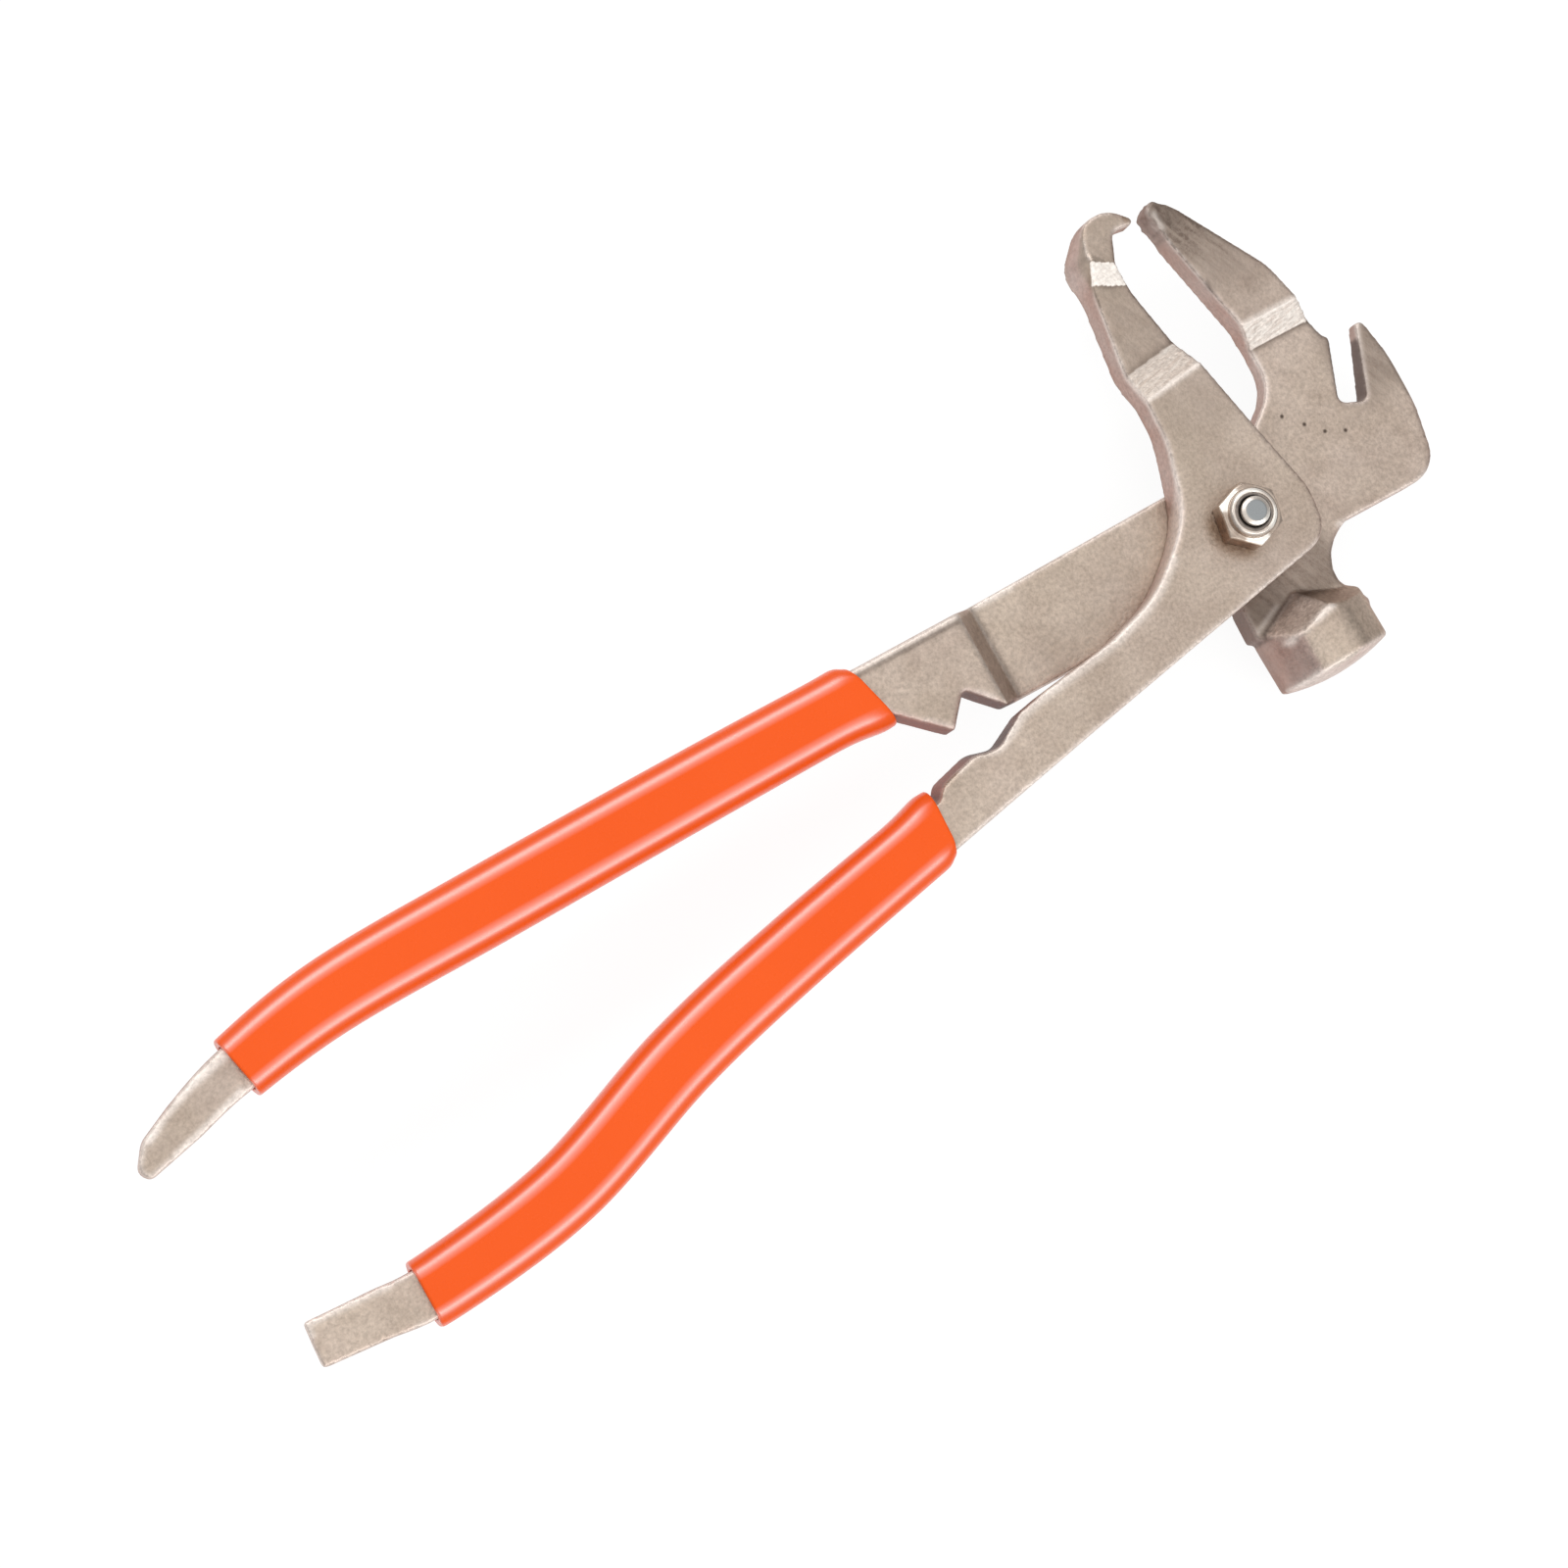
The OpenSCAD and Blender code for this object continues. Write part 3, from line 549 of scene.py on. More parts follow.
def markSurface(piece, source, size):
    light, shaded, inner = (nearness(spots) for spots in sharpEdges(source, size["covered"]))
    drawn = [
        (nearness(alongLine(line, markValues["drawnSpacing"])), width, kind) for line, width, kind in size["drawn"]
    ]
    skin = bmesh.new()
    skin.from_mesh(source)
    reach = BVHTree.FromBMesh(skin)
    marks = {
        name: [] for name in ("edgeLight", "sideWall", "groundBand", "bandLevel", "paintedShadeAndGrime", "cutShade", "wear", "stain")
    }
    for vertex in piece.data.vertices:
        normal = reach.find_nearest(vertex.co)[1]
        spot = spotAt(vertex.co, normal, size["planes"])
        painted = paintZones(size["zones"], spot)
        # wall: where the painted mauve reflection goes
        wall = 1.0 if abs(normal.z) < markValues["steep"] else painted["wall"]
        faceEdge = next(width for width, limits in size["faceEdges"] if inside(spot, limits)) * markValues["faceEdge"]
        # shine: edge wear, and painted highlights along the lit edges and the light drawn lines
        shine = closeTo(light, vertex.co, painted["wallEdge"] if wall else faceEdge) ** markValues["edgeCurve"]
        # deep: painted shade in inner corners, along edges that turn away from the light, along dark drawn lines and in
        # the shade zones
        deep = closeTo(inner, vertex.co, size["corner"]) ** markValues["cornerCurve"]
        deep = max(deep, markValues["shaded"] * closeTo(shaded, vertex.co, markValues["shadedReach"]))
        for tree, width, kind in drawn:
            near = min(1.0, markValues["drawn"] * closeTo(tree, vertex.co, width))
            if kind == "light":
                shine = max(shine, near)
            else:
                deep = max(deep, near)
        deep = max(deep, wall * painted["deep"], painted["dim"])
        # cut: painted shade on the walls of the notch, tooth and wave
        cut = wall * painted["cut"]
        shine *= (1 - deep) * (1 - markValues["cutEdge"] * cut)
        marks["edgeLight"].append(max(shine, painted["shine"]))
        marks["paintedShadeAndGrime"].append(deep)
        marks["sideWall"].append(wall)
        marks["groundBand"].append(1.0 if painted["band"] else 0.0)
        marks["bandLevel"].append(painted["band"])
        marks["cutShade"].append(cut)
        marks["wear"].append(painted["wear"] * (1 - markValues["wallWear"] * wall) + painted["dull"])
        marks["stain"].append(painted["stain"])
    for name, passes in markValues["passes"].items():
        marks[name] = evenOut(piece.data, marks[name], passes)
    addMarks(piece, marks)
    skin.free()
    bpy.data.meshes.remove(source)


def finishPiece(piece, body, node, material):
    piece.data.materials.append(material)
    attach(piece, body)
    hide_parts(node)


hammerSize = {
    "flats": 8, "corner": 10.99, "back": 13.2, "face": 29.5, "axis": (4.7, -3.5), "lean": 2.0, "turn": 12.5,
    "edge": 2.0, "edgeSegments": 4,
    "crown": ((0.33, 0.9), (0.42, 0.75), (0.44, 0.55), (0.35, 0.3), (0.14, 0.05)),  # steps: how far out, and how wide
    "cuts": (  # slanting flats towards the neck: a point of each, and the way that it faces
        ((-5.1, -19.6, 0), (-0.357, 0.693, 0.625)),
        ((6.4, -16.0, 0), (0.32, 0.815, 0.484)),
        ((-5.1, -19.6, -7), (-0.357, 0.693, -0.625)),
        ((6.4, -16.0, -7), (0.32, 0.815, -0.484)),
        ((13.9, -18.5, 0), (0.633, 0.774, 0)),
    ),
    "joint": -13.4,  # the forging's own hammer is cut off here
    "neckThick": (-7, 0),
    "neck": (
        (-5.3, -12), (-5.5, -14.3), (-5.7, -19.3), (-2.5, -21), (-2.5, -25), (15, -25), (16.0, -22.3), (14.95, -20.3),
        (13.6, -19.0), (12.75, -17.0), (12.83, -14.8), (14.0, -12.2), (15.8, -10.3), (17.6, -9.2), (19.4, -8.5),
        (19, -6), (4, -6),
    ),
}


def narrowFace(piece, out, share):  # the selected face moves out and gets narrower
    bpy.ops.mesh.extrude_region_move(TRANSFORM_OT_translate={"value": (0, -out * millimetre, 0)})
    grid = bmesh.from_edit_mesh(piece.data)
    chosen = [vertex.co for vertex in grid.verts if vertex.select]
    middle = sum(chosen, Vector()) / len(chosen)
    bpy.ops.transform.resize(value=(share, share, share), center_override=middle)


def hammerHead(size):
    length = size["face"] - size["back"]
    lean = math.radians(size["lean"])
    middle = (size["face"] + size["back"]) / 2
    bpy.ops.object.select_all(action="DESELECT")
    bpy.ops.mesh.primitive_cylinder_add(
        vertices=size["flats"], radius=size["corner"] * millimetre, depth=length * millimetre,
        location=place(size["axis"][0] + math.sin(lean) * middle, -math.cos(lean) * middle, size["axis"][1]),
        rotation=(math.pi / 2, math.radians(size["turn"]), lean),
    )
    piece = bpy.context.object
    piece.name = "hammerHead"
    settle(piece)
    bpy.ops.object.mode_set(mode="EDIT")
    pick(piece, "EDGE", lambda edge: abs((edge.verts[0].co - edge.verts[1].co).y) > 0.5 * length * millimetre)
    bpy.ops.mesh.bevel(offset=size["edge"] * millimetre, segments=size["edgeSegments"], affect="EDGES")
    pick(piece, "FACE", lambda face: face.normal.y < -0.9)
    before = 1.0
    for out, share in size["crown"]:
        narrowFace(piece, out, share / before)
        before = share
    bpy.ops.mesh.select_mode(type="VERT")
    bpy.ops.object.mode_set(mode="OBJECT")
    for spot, away in size["cuts"]:
        cutOff(piece, spot, away)
    return piece


leverSize = {
    "voxel": 0.0004, "passes": 6, "corner": 0.9,
    "planes": {"facet": hammerSize["cuts"][0]},
    "covered": ({"x": (-5.2, 20), "y": (-14.2, -5.4)}, {"x": (-5.3, far), "y": (-27, -14.2)}),  # hammer and neck
    "faceEdges": (  # how wide the edges are rubbed and painted light, and where; the first one that holds counts
        (1.0, {"x": (-80, -40), "y": (0, far)}),
        (0.8, {"x": (-far, -190)}),
        (0.8, {"x": (-far, -54), "y": (-far, -4)}),
        (0.2, {"x": (-far, 27), "y": (33, far)}),
        (0.5, {}),
    ),
    "zones": (  # add or most, the marks, the limits that hold, and the stretches over which the marks come up
        ("add", {"wallEdge": 1.2}, {}, ()),
        ("add", {"wear": 0.78}, {}, (("y", 32, 49),)),  # the fixed jaw, most at its tip
        ("add", {"wear": 0.15}, {}, (("y", 22, 30),)),
        ("add", {"wear": 0.15}, {}, (("x", -194, -198),)),  # the pry point
        ("most", {"band": 1.0}, {"x": (-48, -38), "normalZ": slanted}, ()),  # the shank's step, ground
        ("most", {"band": 1.15}, {"x": (-far, 33), "y": (24, 32), "normalZ": slanted}, ()),  # the jaw's step, ground
        ("most", {"cut": 1.0}, {"x": (-84, -50), "y": (-far, 0), "z": (-8, far)}, ()),  # painted shade on the walls of notch and tooth
        # painted shade on the notch walls that face -Y
        ("most", {"deep": 0.6}, {"x": (-61.5, -50), "y": (-far, 0), "z": (-8, far), "normalY": (-2, -0.3)}, ()),
        ("most", {"shine": 0.22}, {"x": (-far, -46), "normalX": (0.71, 0.91)}, ()),  # painted highlight on flanks that face the head
        ("most", {"deep": 0.9}, {"x": (31, 37.6), "y": (8, far)}, ()),  # painted shade in the claw's slot
        ("most", {"wear": 0.7}, {"x": (28, far), "y": (4, far)}, (("y", 4, 12), ("x", 28, 34))),  # the claw's tips
        ("most", {"deep": 0.75}, {"x": (-far, -3.5), "y": (-20.5, -12)}, ()),  # painted shade under the shank, beside the neck
        ("most", {"wear": 1.0}, {"x": (10, far), "y": (48, far)}, ()),  # the fixed jaw's battered tip
        # darker towards the tip
        ("most", {"dim": 0.4}, {"x": (10, far), "y": (48, far)}, (("y", 49, 52),)),
        ("most", {"wear": 0.75}, {"x": (-6, 16), "y": (-30, -6)},  # the neck: a painted shadow of the jaw lever, in the worn colour
         (("y", -6.5, -9.5), ("y", -18.5, -16.5), ("x", 18, 12))),
        # painted shadow of the jaw lever on the neck's face
        ("most", {"dim": 0.55}, {"x": (-6, 16), "y": (-19, -6), "normalZ": (0.8, 2)}, (("y", -7, -10), ("x", 7, -1))),
        # painted highlights on the rim of the hammer's slanting flat and on its striking face, and its left side in the
        # shade, painted as a mauve wall
        ("most", {"shine": 0.35}, {"x": (-far, 9), "y": (-far, -15), "z": (0.3, far), "facet": (-0.35, 0.35)}, ()),
        ("most", {"shine": 0.7}, {"y": (-far, -29.3), "z": (-4, far)}, ()),
        ("most", {"wall": 1.0, "cut": 0.08, "dull": 0.3}, {"y": (-far, -19.5), "normalX": (-2, -0.5)}, ()),
    ),
    "drawn": (  # painted highlight lines and painted shade lines: their points, how wide they are, and which of the two
        (((-5.6, -19.6, 0), (-3.1, -18.5, 0), (0.6, -16.8, 0), (3.4, -15.6, 0)), 0.9, "dark"),
        (((-5.3, -18.3, 0), (-2.6, -17.1, 0), (0.3, -15.8, 0)), 0.4, "light"),
        (((18.68, 25.6, 0), (31.75, 25.2, 0)), 0.5, "dark"),
        (((16.4, 39, 3.5), (16.4, 33.4, 3.5), (16.6, 29.9, 3.5), (17.3, 26.5, 0.8)), 0.6, "dark"),
        (((-78, 7.6, 6.85), (-62.1, 7.6, 6.85), (-53, 7.55, 6.85)), 0.5, "dark"),
        (((14.04, 53.96, 3.55), (14.26, 50.92, 3.55)), 0.5, "light"),
        (((12.62, 53.41, 2), (13.53, 51.24, 2)), 0.45, "light"),
        (((-194, 2.5, 6.9), (-202.9, 0.4, 6.2), (-209, -2.1, 5.6), (-212.5, -4, 5.3)), 1.2, "light"),
        (((-196, -4.2, 6.8), (-204, -6.6, 6.1), (-210, -8.2, 5.5)), 0.5, "light"),
        (((-5.7, -21.7, 1.6), (-2, -22.35, 3.6), (1.8, -21.7, 5.2), (4.5, -20.6, 6.4), (6.6, -20.2, 6.6)), 1.1,
         "light"),
    ),
    "rounded": (
        {"line": ((6.6, -21, 7.2), (7.4, -29, 7.2)), "reach": 3.5, "passes": 30},
        {"line": ((-192, 3.4, 6.9), (-203, 1.0, 6.1), (-210.5, -2.2, 5.4), (-214, -4.5, 5.1)),
         "reach": 2.6, "passes": 24},
        {"line": ((-92, 9.3, 7.1), (-48, 8.8, 7.1)), "reach": 1.6, "passes": 10},
    ),
    "rough": {"spot": (13.5, 53.5), "reach": 4.5, "depth": 0.3, "dents": 900, "seed": 1},
    "pinch": {"middle": -50.7, "before": 2.5, "after": 2.15, "reach": 6.0, "fade": (-3.3, -0.3)},
}
hammerLever = nodeCopy("hammerLever", "hammer_lever")
cutOff(hammerLever, (0, hammerSize["joint"], 0), (0, -1, 0))
joinInto(hammerLever, hammerHead(hammerSize), slab("neck", hammerSize["neck"], *hammerSize["neckThick"]))
hammerSource = soften(hammerLever, leverSize)
markSurface(hammerLever, hammerSource, leverSize)
finishPiece(hammerLever, "hammer_side", "hammer_lever", steel)
print("hammer lever:", len(hammerLever.data.polygons), "faces")


jawSize = {
    "voxel": 0.0004, "passes": 6, "corner": 0.9, "covered": (),
    "planes": {"stripe": ((-2.0, 48, 0), (1, -0.55, 0)), "waveSide": ((0, -5.5, 0), (-0.225, 1, 0))},
    "faceEdges": (
        (0.45, {"y": (12, far)}),
        (1.4, {"x": (-66, -14), "waveSide": (0, far)}),
        (0.55, {"x": (-190, far)}),
        (1.0, {"y": (-44.5, far)}),
        (0.25, {}),
    ),
    "zones": (
        ("add", {"wallEdge": 1.5}, {}, ()),
        ("add", {"wallEdge": 6}, {}, (("y", 12, 4), ("x", -4, -8), ("x", -50, -42))),  # painted highlight on the arm's inner wall
        ("add", {"wear": 0.25}, {}, (("y", 8, 20),)),  # the hooked jaw
        ("add", {"wear": 0.15}, {}, (("y", 26, 34),)),
        ("add", {"wear": -0.1}, {}, (("y", 46, 50),)),
        ("most", {"band": 1.6}, {"y": (40, far), "normalZ": slanted, "stripe": (0, far)}, ()),  # under the hook
        ("most", {"band": 0.47}, {"y": (22, 36), "normalZ": slanted}, ()),  # the step over the boss
        ("most", {"cut": 0.9}, {"x": (-far, -47), "y": (-20, far)}, ()),  # painted shade on the wave's walls
        # deeper painted shade along the middle of the wave
        ("most", {"deep": 0.9}, {"x": (-far, -47), "y": (-20, far)}, (("x", -65, -61), ("x", -51, -55))),
        ("add", {"stain": 0.18}, {"z": (5, far)}, (("away", 8.2, 5.4),)),  # brown round the nut, most on its left
        ("add", {"stain": 0.72}, {"z": (5, far)}, (("away", 8.2, 5.4), ("turn", 130, 170), ("turn", 282, 242))),
        ("most", {"stain": 0.7}, {"x": (9.5, far), "y": (54, far)}, ()),  # the hook's tip
    ),
    # a painted shade line along the hook's band, and a painted highlight line near the hook's tip
    "drawn": (
        (((-2.19, 47.9, 3.55), (0.72, 46.1, 3.55), (3.83, 45.2, 3.55)), 0.45, "dark"),
        (((1.0, 55.6, 1.6), (0.4, 53.6, 1.6), (0.35, 52.4, 1.9)), 0.5, "light"),
    ),
    "leans": (
        {"line": ((-6, 16, 0.5), (-8, 9, 0.6), (-11, 2, 0.4)), "reach": 5, "way": (-1, 0, 0), "foot": 7.1, "top": 0.1},
        {"line": ((-57.5, -12.6, 0.6), (-60, -12.6, 1.1), (-70, -14.8, 1.2), (-72.5, -16.5, 1.0)), "reach": 6,
         "way": (0.15, -0.98, 0), "foot": 0.1, "top": 7.1},
        {"line": ((-4.2, 38, 0.2), (-3.2, 44, 0.4), (-3.2, 46, 0.5), (-3.35, 48, 1.2), (-3.6, 50, 2.6), (-3.4, 52, 3.8),
                  (-2.3, 54, 3.0), (-0.3, 56, 1.5), (1.45, 57.5, 0.8), (4.9, 58.5, 0)), "reach": 7.5,
         "way": (1, 0, 0), "foot": -3.45, "top": 1.6},
    ),
    "rounded": (
        {"line": ((1.0, 56, 1.6), (0.3, 53, 1.6), (-1, 50, 3), (-2.2, 48, 3.5), (-3, 45, 3.5)),
         "reach": 2.6, "passes": 12},
        {"line": ((-5, 31, 3), (-5.6, 19, 7), (-8, 8, 7), (-11.5, 2, 7), (-20, -4, 7), (-30, -6, 7)),
         "reach": 3, "passes": 16},
    ),
    "relief": {  # clears the hammer when the pliers are wide open
        "line": ((-9, -13.4), (-14, -14.35), (-19, -15.3)), "reach": 2.4, "height": 2.6, "foot": 0.1, "slack": 0.3,
    },
}
jawLever = nodeCopy("jawLever", "jaw_lever")
jawSource = soften(jawLever, jawSize)
markSurface(jawLever, jawSource, jawSize)
finishPiece(jawLever, "jaw_side", "jaw_lever", steel)
print("jaw lever:", len(jawLever.data.polygons), "faces")


def disc(name, radius, low, high, sides=64):
    bpy.ops.object.select_all(action="DESELECT")
    bpy.ops.mesh.primitive_cylinder_add(
        vertices=sides, radius=radius * millimetre, depth=(high - low) * millimetre,
        location=place(0, 0, (low + high) / 2),
    )
    piece = bpy.context.object
    piece.name = name
    settle(piece)
    return piece


def turnedMarks(piece, look):  # marks that depend on the distance and the turn from the axis
    marks = {"bright": [], "brownReflection": [], "dark": [], "cool": []}
    for vertex in piece.data.vertices:
        x, y, z = (vertex.co - pivot) / millimetre
        values = look(math.hypot(x, y), math.degrees(math.atan2(y, x)) % 360, z)
        for name in marks:
            marks[name].append(values.get(name, 0.0))
    addMarks(piece, marks)


def inArcs(turn, arcs, soft):
    return max(window(turn, low, high, soft) for low, high in arcs)


def fromLeast(least, share):  # never less than least, and all where the share is 1
    return least + (1 - least) * share


boltSize = {
    "voxel": 0.00014, "passes": 2,
    "cut": 12.5, "low": 11, "radius": 2.55, "middle": 13, "shoulder": 13.9, "top": 14.3, "flat": 1.8,
    "rim": (1.85, 2.6, 0.12), "rimLeast": 0.45, "rimLight": (((240, 330),), 30),  # arcs are in degrees round the axis
    "sunk": (13.2, 12.8), "core": (2.0, 1.75),  # painted shade down in the gap, and cool on the flat end
}


def boltLook(away, turn, z):
    marks = {"dark": rise(z, *boltSize["sunk"]) if z > boltSize["low"] else 0.0}
    if z > boltSize["middle"]:
        light = fromLeast(boltSize["rimLeast"], inArcs(turn, *boltSize["rimLight"]))
        marks["bright"] = window(away, *boltSize["rim"]) * light
        marks["cool"] = rise(away, *boltSize["core"])
    return marks


nutSize = {
    "voxel": 0.00014, "passes": 3,
    "lip": 12.5, "lipOut": 4.4, "lipBright": (3.4, 4.1, 0.2), "lipLeast": 0.45, "lipBrown": 0.25,
    "lipLight": (((45, 120), (290, 345)), 14),  # arcs of the lip that mirror a lamp
    "lipShade": (4.05, 4.4, 0.1), "lipDark": 0.8, "lipDarkArcs": (((0, 60), (300, 360)), 12),
    "collar": 11, "collarOut": (4.3, 4.5), "petals": (((95, 150), (228, 280)), 5),  # painted highlights on the collar's slope
    "brownReflection": 0.85, "brownArcs": (((150, 255),), 12),  # painted brown reflection on the flats
}


def nutLook(away, turn, z):
    size = nutSize
    if away < size["lipOut"] and z > size["lip"]:
        light = inArcs(turn, *size["lipLight"])
        return {
            "bright": fromLeast(size["lipLeast"], light) * window(away, *size["lipBright"]),
            "brownReflection": size["lipBrown"] * (1 - light),
            "dark": size["lipDark"] * window(away, *size["lipShade"]) * inArcs(turn, *size["lipDarkArcs"]),
        }
    if z > size["collar"]:
        return {"bright": inArcs(turn, *size["petals"]) * rise(away, *size["collarOut"])}
    return {"brownReflection": size["brownReflection"] * inArcs(turn, *size["brownArcs"])}


ringSize = {
    "voxel": 0.00012, "passes": 3,
    "inner": 2.7, "outer": 3.75, "low": 11.05, "high": 13.0,
    # painted shade in black arcs on the inner rim
    "black": (((60, 118), (292, 332)), 10), "blackLeast": 0.55, "blackOut": (3.0, 2.85), "grime": 0.15,
    "bright": 0.3, "brightOut": (3.0, 3.2),
}


def ringLook(away, turn, z):
    size = ringSize
    black = fromLeast(size["blackLeast"], inArcs(turn, *size["black"])) * rise(away, *size["blackOut"])
    return {"dark": black + size["grime"], "bright": size["bright"] * rise(away, *size["brightOut"])}


pivotBolt = nodeCopy("pivotBolt", "pivot_bolt")
cutOff(pivotBolt, (0, 0, boltSize["cut"]), (0, 0, 1))
boltEnd = disc("boltEnd", boltSize["radius"], boltSize["low"], boltSize["top"])
bpy.ops.object.mode_set(mode="EDIT")
pick(boltEnd, "FACE", lambda face: face.normal.z > 0.9)
bpy.ops.mesh.inset(thickness=(boltSize["radius"] - boltSize["flat"]) * millimetre)
grid = bmesh.from_edit_mesh(boltEnd.data)
for vertex in grid.verts:
    if not vertex.select and vertex.co.z > place(0, 0, boltSize["middle"]).z:
        vertex.co.z = place(0, 0, boltSize["shoulder"]).z
bmesh.update_edit_mesh(boltEnd.data)
bpy.ops.mesh.select_mode(type="VERT")
bpy.ops.object.mode_set(mode="OBJECT")
joinInto(pivotBolt, boltEnd)
lockNut = nodeCopy("lockNut", "lock_nut")
nutRing = disc("nutRing", ringSize["outer"], ringSize["low"], ringSize["high"])
bpy.ops.object.mode_set(mode="EDIT")
pick(nutRing, "FACE", lambda face: abs(face.normal.z) > 0.9)
bpy.ops.mesh.inset(thickness=(ringSize["outer"] - ringSize["inner"]) * millimetre, use_individual=True)
bpy.ops.mesh.bridge_edge_loops()
bpy.ops.mesh.select_mode(type="VERT")
bpy.ops.object.mode_set(mode="OBJECT")
for piece, node, slot, material, size, look in (
    (pivotBolt, "pivot_bolt", "zinc_plate", zinc, boltSize, boltLook),
    (lockNut, "lock_nut", "zinc_plate", zinc, nutSize, nutLook),
    (nutRing, "nut_ring", "nylon", nylon, ringSize, ringLook),
):
    bpy.data.meshes.remove(soften(piece, size))
    turnedMarks(piece, look)
    finishPiece(piece, "hammer_side", node, material)
    print(piece.name, len(piece.data.polygons), "faces")


def smoothRun(stations, steps):  # points between the stations, as [x, y, half width]
    run = []
    for i in range(len(stations) - 1):
        a, b = stations[max(i - 1, 0)], stations[i]
        c, d = stations[i + 1], stations[min(i + 2, len(stations) - 1)]
        for j in range(steps):
            t = j / steps
            run.append([
                (2 * b[k] + (c[k] - a[k]) * t + (2 * a[k] - 5 * b[k] + 4 * c[k] - d[k]) * t * t
                 + (3 * b[k] - a[k] - 3 * c[k] + d[k]) * t ** 3) / 2 for k in range(3)
            ])
    return run + [list(stations[-1])]


def onRun(run, x):  # the run's point at this x, and its direction towards the pivot
    k = next((k for k in range(1, len(run) - 2) if run[k + 1][0] <= x), len(run) - 3)
    t = (x - run[k][0]) / (run[k + 1][0] - run[k][0])
    point = [run[k][j] + (run[k + 1][j] - run[k][j]) * t for j in range(3)]
    before = Vector((run[k - 1][0] - run[k + 1][0], run[k - 1][1] - run[k + 1][1])).normalized()
    after = Vector((run[k][0] - run[k + 2][0], run[k][1] - run[k + 2][1])).normalized()
    return point, before.lerp(after, t).normalized()


gripShape = {  # what both grips share, in millimetres
    "wall": 1.6, "handle": 6.5, "level": 3.6,
    "half": 6.5, "round": 3.8, "corner": 10, "rings": 150,  # the drawn section, and how often it is repeated
    "runSteps": 40, "flareReach": 5.0, "tuckReach": 1.3,
    "gloss": (9, 33, 8), "glossStart": (0.5, 4.5), "side": (52, 66), "sideGloss": 0.4,  # degrees round the section
    "lip": 0.5, "lipSegments": 3, "lipAngle": 50, "skin": 0.98,
}


def dippedGrip(name, size, body, node):
    run = smoothRun(size["stations"], size["runSteps"])
    length = size["end"] - size["mouth"]
    half = size["half"]
    high = size["handle"] / 2 + size["wall"]
    bpy.ops.object.select_all(action="DESELECT")
    bpy.ops.mesh.primitive_plane_add(size=2, location=(0, 0, 0), rotation=(0, math.pi / 2, 0))
    piece = bpy.context.object
    piece.name = name
    piece.scale = (high, half, 1)
    settle(piece)
    bpy.ops.object.mode_set(mode="EDIT")
    bpy.ops.mesh.select_mode(type="VERT")
    bpy.ops.mesh.select_all(action="SELECT")
    bpy.ops.mesh.bevel(offset=size["round"], segments=size["corner"], affect="VERTICES", profile=0.5)
    bpy.ops.mesh.select_all(action="SELECT")
    bpy.ops.mesh.delete(type="ONLY_FACE")
    bpy.ops.mesh.select_all(action="SELECT")
    for i in range(size["rings"]):
        bpy.ops.mesh.extrude_region_move(TRANSFORM_OT_translate={"value": (-length / size["rings"], 0, 0)})
    bpy.ops.object.mode_set(mode="OBJECT")
    shoulders = []
    for vertex in piece.data.vertices:  # the straight tube is laid along the handle
        s, across, up = -vertex.co.x, vertex.co.y, vertex.co.z
        tilt = math.degrees(math.atan2(abs(across) - half + size["round"], abs(up) - high + size["round"]))
        gloss = window(tilt, *size["gloss"]) * rise(s, *size["glossStart"])
        shoulders.append(gloss + size["sideGloss"] * rise(tilt, *size["side"]))
        slant = size["slant"][0] if s < length / 2 else size["slant"][1]
        share = max(0.0, abs(2 * s / length - 1))
        point, step = onRun(run, -(size["mouth"] + s))
        side = Vector((-step.y, step.x))
        wide = point[2] + size["wall"]
        turn = 0 if across < 0 else 1
        flare = size["flare"][turn] * math.exp(-((s / size["flareReach"]) ** 2))
        tuck = size["tuck"][turn] * math.exp(-((s / size["tuckReach"]) ** 2))
        off = across / half * wide * (1 + (flare - tuck) / wide)
        lean = -math.tan(math.radians(slant)) * off * share ** 3
        x, y = (point[k] + side[k] * off + step[k] * lean for k in (0, 1))
        vertex.co = place(x, y, size["level"] + up)
    addMarks(piece, {"shoulder": shoulders})
    takeUp(piece)
    bpy.ops.object.mode_set(mode="EDIT")
    bpy.ops.mesh.select_all(action="SELECT")
    bpy.ops.mesh.normals_make_consistent(inside=False)
    bpy.ops.object.mode_set(mode="OBJECT")
    shapeWith(piece, "SOLIDIFY", thickness=size["wall"] * size["skin"] * millimetre, offset=-1)
    lip = {"width": size["lip"] * millimetre, "segments": size["lipSegments"]}
    shapeWith(piece, "BEVEL", limit_method="ANGLE", angle_limit=math.radians(size["lipAngle"]), **lip)
    takeUp(piece)
    bpy.ops.object.shade_smooth()
    finishPiece(piece, body, node, vinyl)
    print(name, len(piece.data.polygons), "faces")


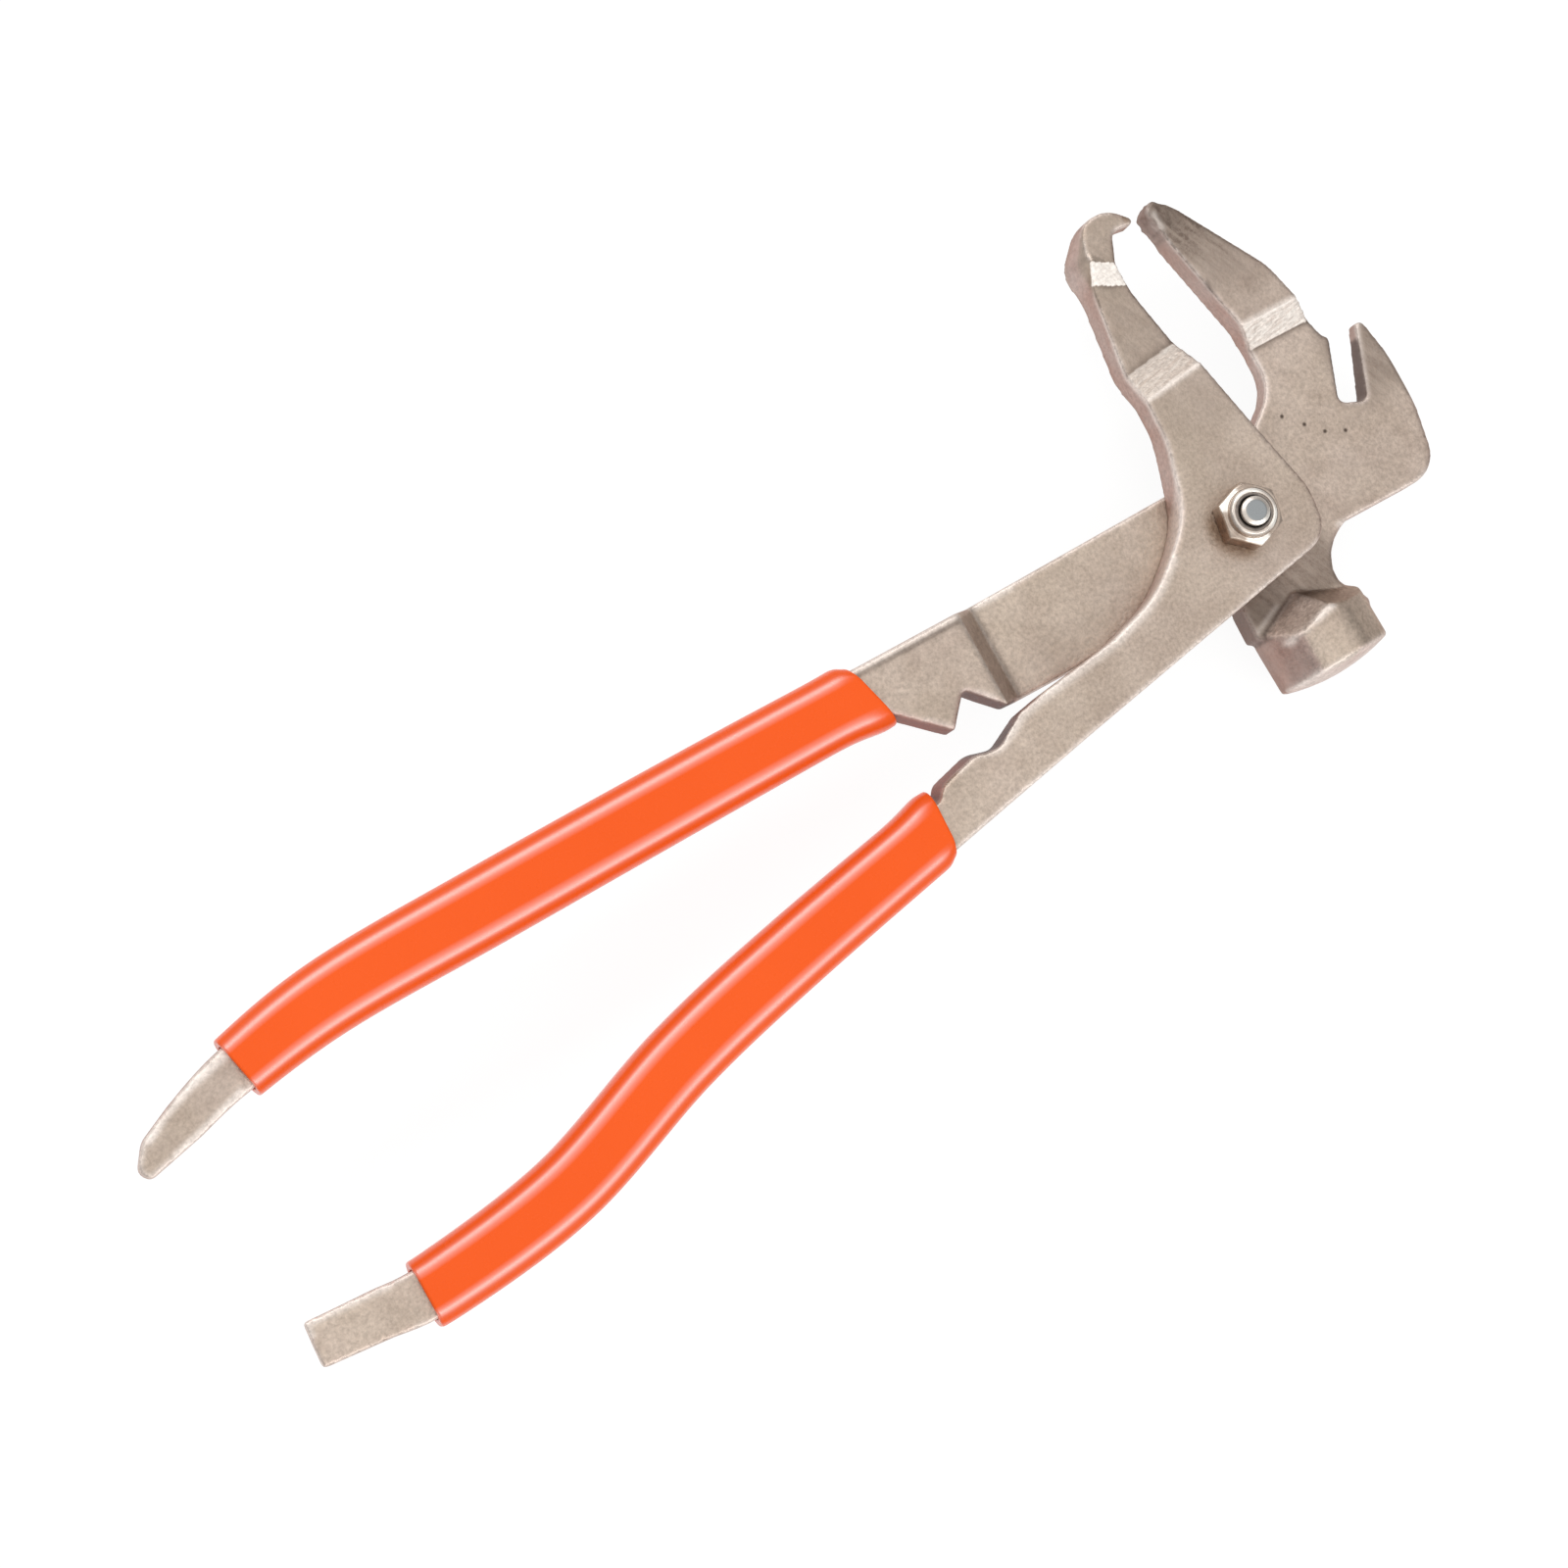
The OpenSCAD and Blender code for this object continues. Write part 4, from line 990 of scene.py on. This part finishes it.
hammerGripSize = {
    **gripShape,
    "stations": (  # the handle's middle line, with its half width
        (-72, 4.35, 4.6), (-104, 4.05, 4.9), (-145.5, 3.3, 5.05), (-175.5, 2.45, 4.8), (-195.4, -0.9, 4.15),
        (-206, -4.2, 3.65),
    ),
    "mouth": 72.8, "end": 194.7,  # how far along the pliers
    "slant": (15, 0),  # degrees, at the mouth and at the end
    "flare": (1.0, 0.2), "tuck": (0.2, 1.1),  # at the mouth, on the outer and the inner side
}
dippedGrip("hammerGrip", hammerGripSize, "hammer_side", "hammer_grip")
jawGripSize = {
    **gripShape,
    "stations": (
        (-66, -20, 4.45), (-104, -27.55, 4.75), (-130, -33.95, 4.8), (-157, -43.4, 4.7), (-182.5, -46.95, 4.4),
        (-194, -46.35, 4.15), (-205.1, -45.5, 4),
    ),
    "mouth": 72.6, "end": 185.8, "slant": (-13, 0), "flare": (0.0, 0.8), "tuck": (0.9, 0.4),
}
dippedGrip("jawGrip", jawGripSize, "jaw_side", "jaw_grip")

floorValues = {"size": 6, "gap": 0.0002, "matt": 0.9, "glow": 1.06, "glowShare": 0.85}


def paperFloor(size):  # pale paper that looks lit from within, and still takes the shadow
    bpy.ops.object.select_all(action="DESELECT")
    bpy.ops.mesh.primitive_plane_add(size=size["size"], location=(0, 0, -size["gap"]))
    floor = bpy.context.object
    floor.name = "studioFloor"
    settle(floor)
    paper = bpy.data.materials.new("floorPaper")
    paper.use_nodes = True
    tree = paper.node_tree
    tree.nodes.clear()
    matt = addNode(tree, "ShaderNodeBsdfDiffuse", Color=(size["matt"],) * 3 + (1,))
    glow = addNode(tree, "ShaderNodeEmission", Color=(1, 1, 1, 1), Strength=size["glow"])
    rays = addNode(tree, "ShaderNodeLightPath")
    seen = sumUp(tree, "ADD", rays.outputs["Is Camera Ray"], rays.outputs["Is Glossy Ray"])
    seen = sumUp(tree, "ADD", seen, rays.outputs["Is Transmission Ray"], True)
    seen = sumUp(tree, "MULTIPLY", seen, size["glowShare"])
    mixed = addNode(tree, "ShaderNodeMixShader", Fac=seen, i1=matt.outputs[0], i2=glow.outputs[0])
    addNode(tree, "ShaderNodeOutputMaterial", Surface=mixed.outputs[0])
    floor.data.materials.append(paper)
    return floor


studioFloor = paperFloor(floorValues)

skyValues = {"top": 1.27, "ends": 0.3, "narrow": 2.6, "sides": 0.6, "sidesNarrow": 4.0}
studio = bpy.data.worlds.new("studio")
scene.world = studio
studio.use_nodes = True
sky = studio.node_tree
skyParts = addNode(sky, "ShaderNodeSeparateXYZ", Vector=addNode(sky, "ShaderNodeTexCoord").outputs["Generated"])
skyTop = sumUp(sky, "POWER", sumUp(sky, "MAXIMUM", skyParts.outputs["Z"], 0.0), skyValues["narrow"])
skySides = sumUp(sky, "POWER", sumUp(sky, "ABSOLUTE", skyParts.outputs["Y"], 0.0), skyValues["sidesNarrow"])
skyShare = sumUp(sky, "ADD", skyTop, sumUp(sky, "MULTIPLY", skySides, skyValues["sides"]), True)
skyColour = blendColour(sky, skyShare, (skyValues["ends"],) * 3 + (1,), (skyValues["top"],) * 3 + (1,))
feed(sky, sky.nodes["Background"].inputs["Color"], skyColour)


def softBox(name, spot, size, power):  # a long lamp that faces the middle of the pliers
    lamp = bpy.data.lights.new(name, "AREA")
    lamp.shape = "RECTANGLE"
    lamp.size, lamp.size_y = size
    lamp.energy = power
    holder = bpy.data.objects.new(name, lamp)
    scene.collection.objects.link(holder)
    holder.location = spot
    holder.rotation_euler = (-Vector(spot)).to_track_quat("-Z", "Y").to_euler()


lampValues = {"along": -0.05, "across": 0.61, "up": 0.58, "size": (1.2, 0.16), "power": 2.7}
for lampName, lampSide in (("farSoftBox", 1), ("nearSoftBox", -1)):
    lampSpot = (lampValues["along"], lampSide * lampValues["across"], lampValues["up"])
    softBox(lampName, lampSpot, lampValues["size"], lampValues["power"])

cameraValues = {
    "spot": (-0.173584, -0.022821, 0.693214),
    "back": (-0.241844, -0.0254, 0.969983),
    "right": (0.853237, -0.481598, 0.200125),
    "lens": 96.075, "sensor": 36, "nearest": 0.01,
}
lens = bpy.data.cameras.new("photoCamera")
lens.lens = cameraValues["lens"]
lens.sensor_width = cameraValues["sensor"]
lens.clip_start = cameraValues["nearest"]
camera = bpy.data.objects.new("photoCamera", lens)
scene.collection.objects.link(camera)
back = Vector(cameraValues["back"]).normalized()
right = Vector(cameraValues["right"]).normalized()
turned = Matrix((right, back.cross(right), back)).transposed().to_quaternion()
camera.matrix_world = Matrix.LocRotScale(Vector(cameraValues["spot"]), turned, None)
scene.camera = camera
scene.view_settings.view_transform = "Standard"
print("studio set")
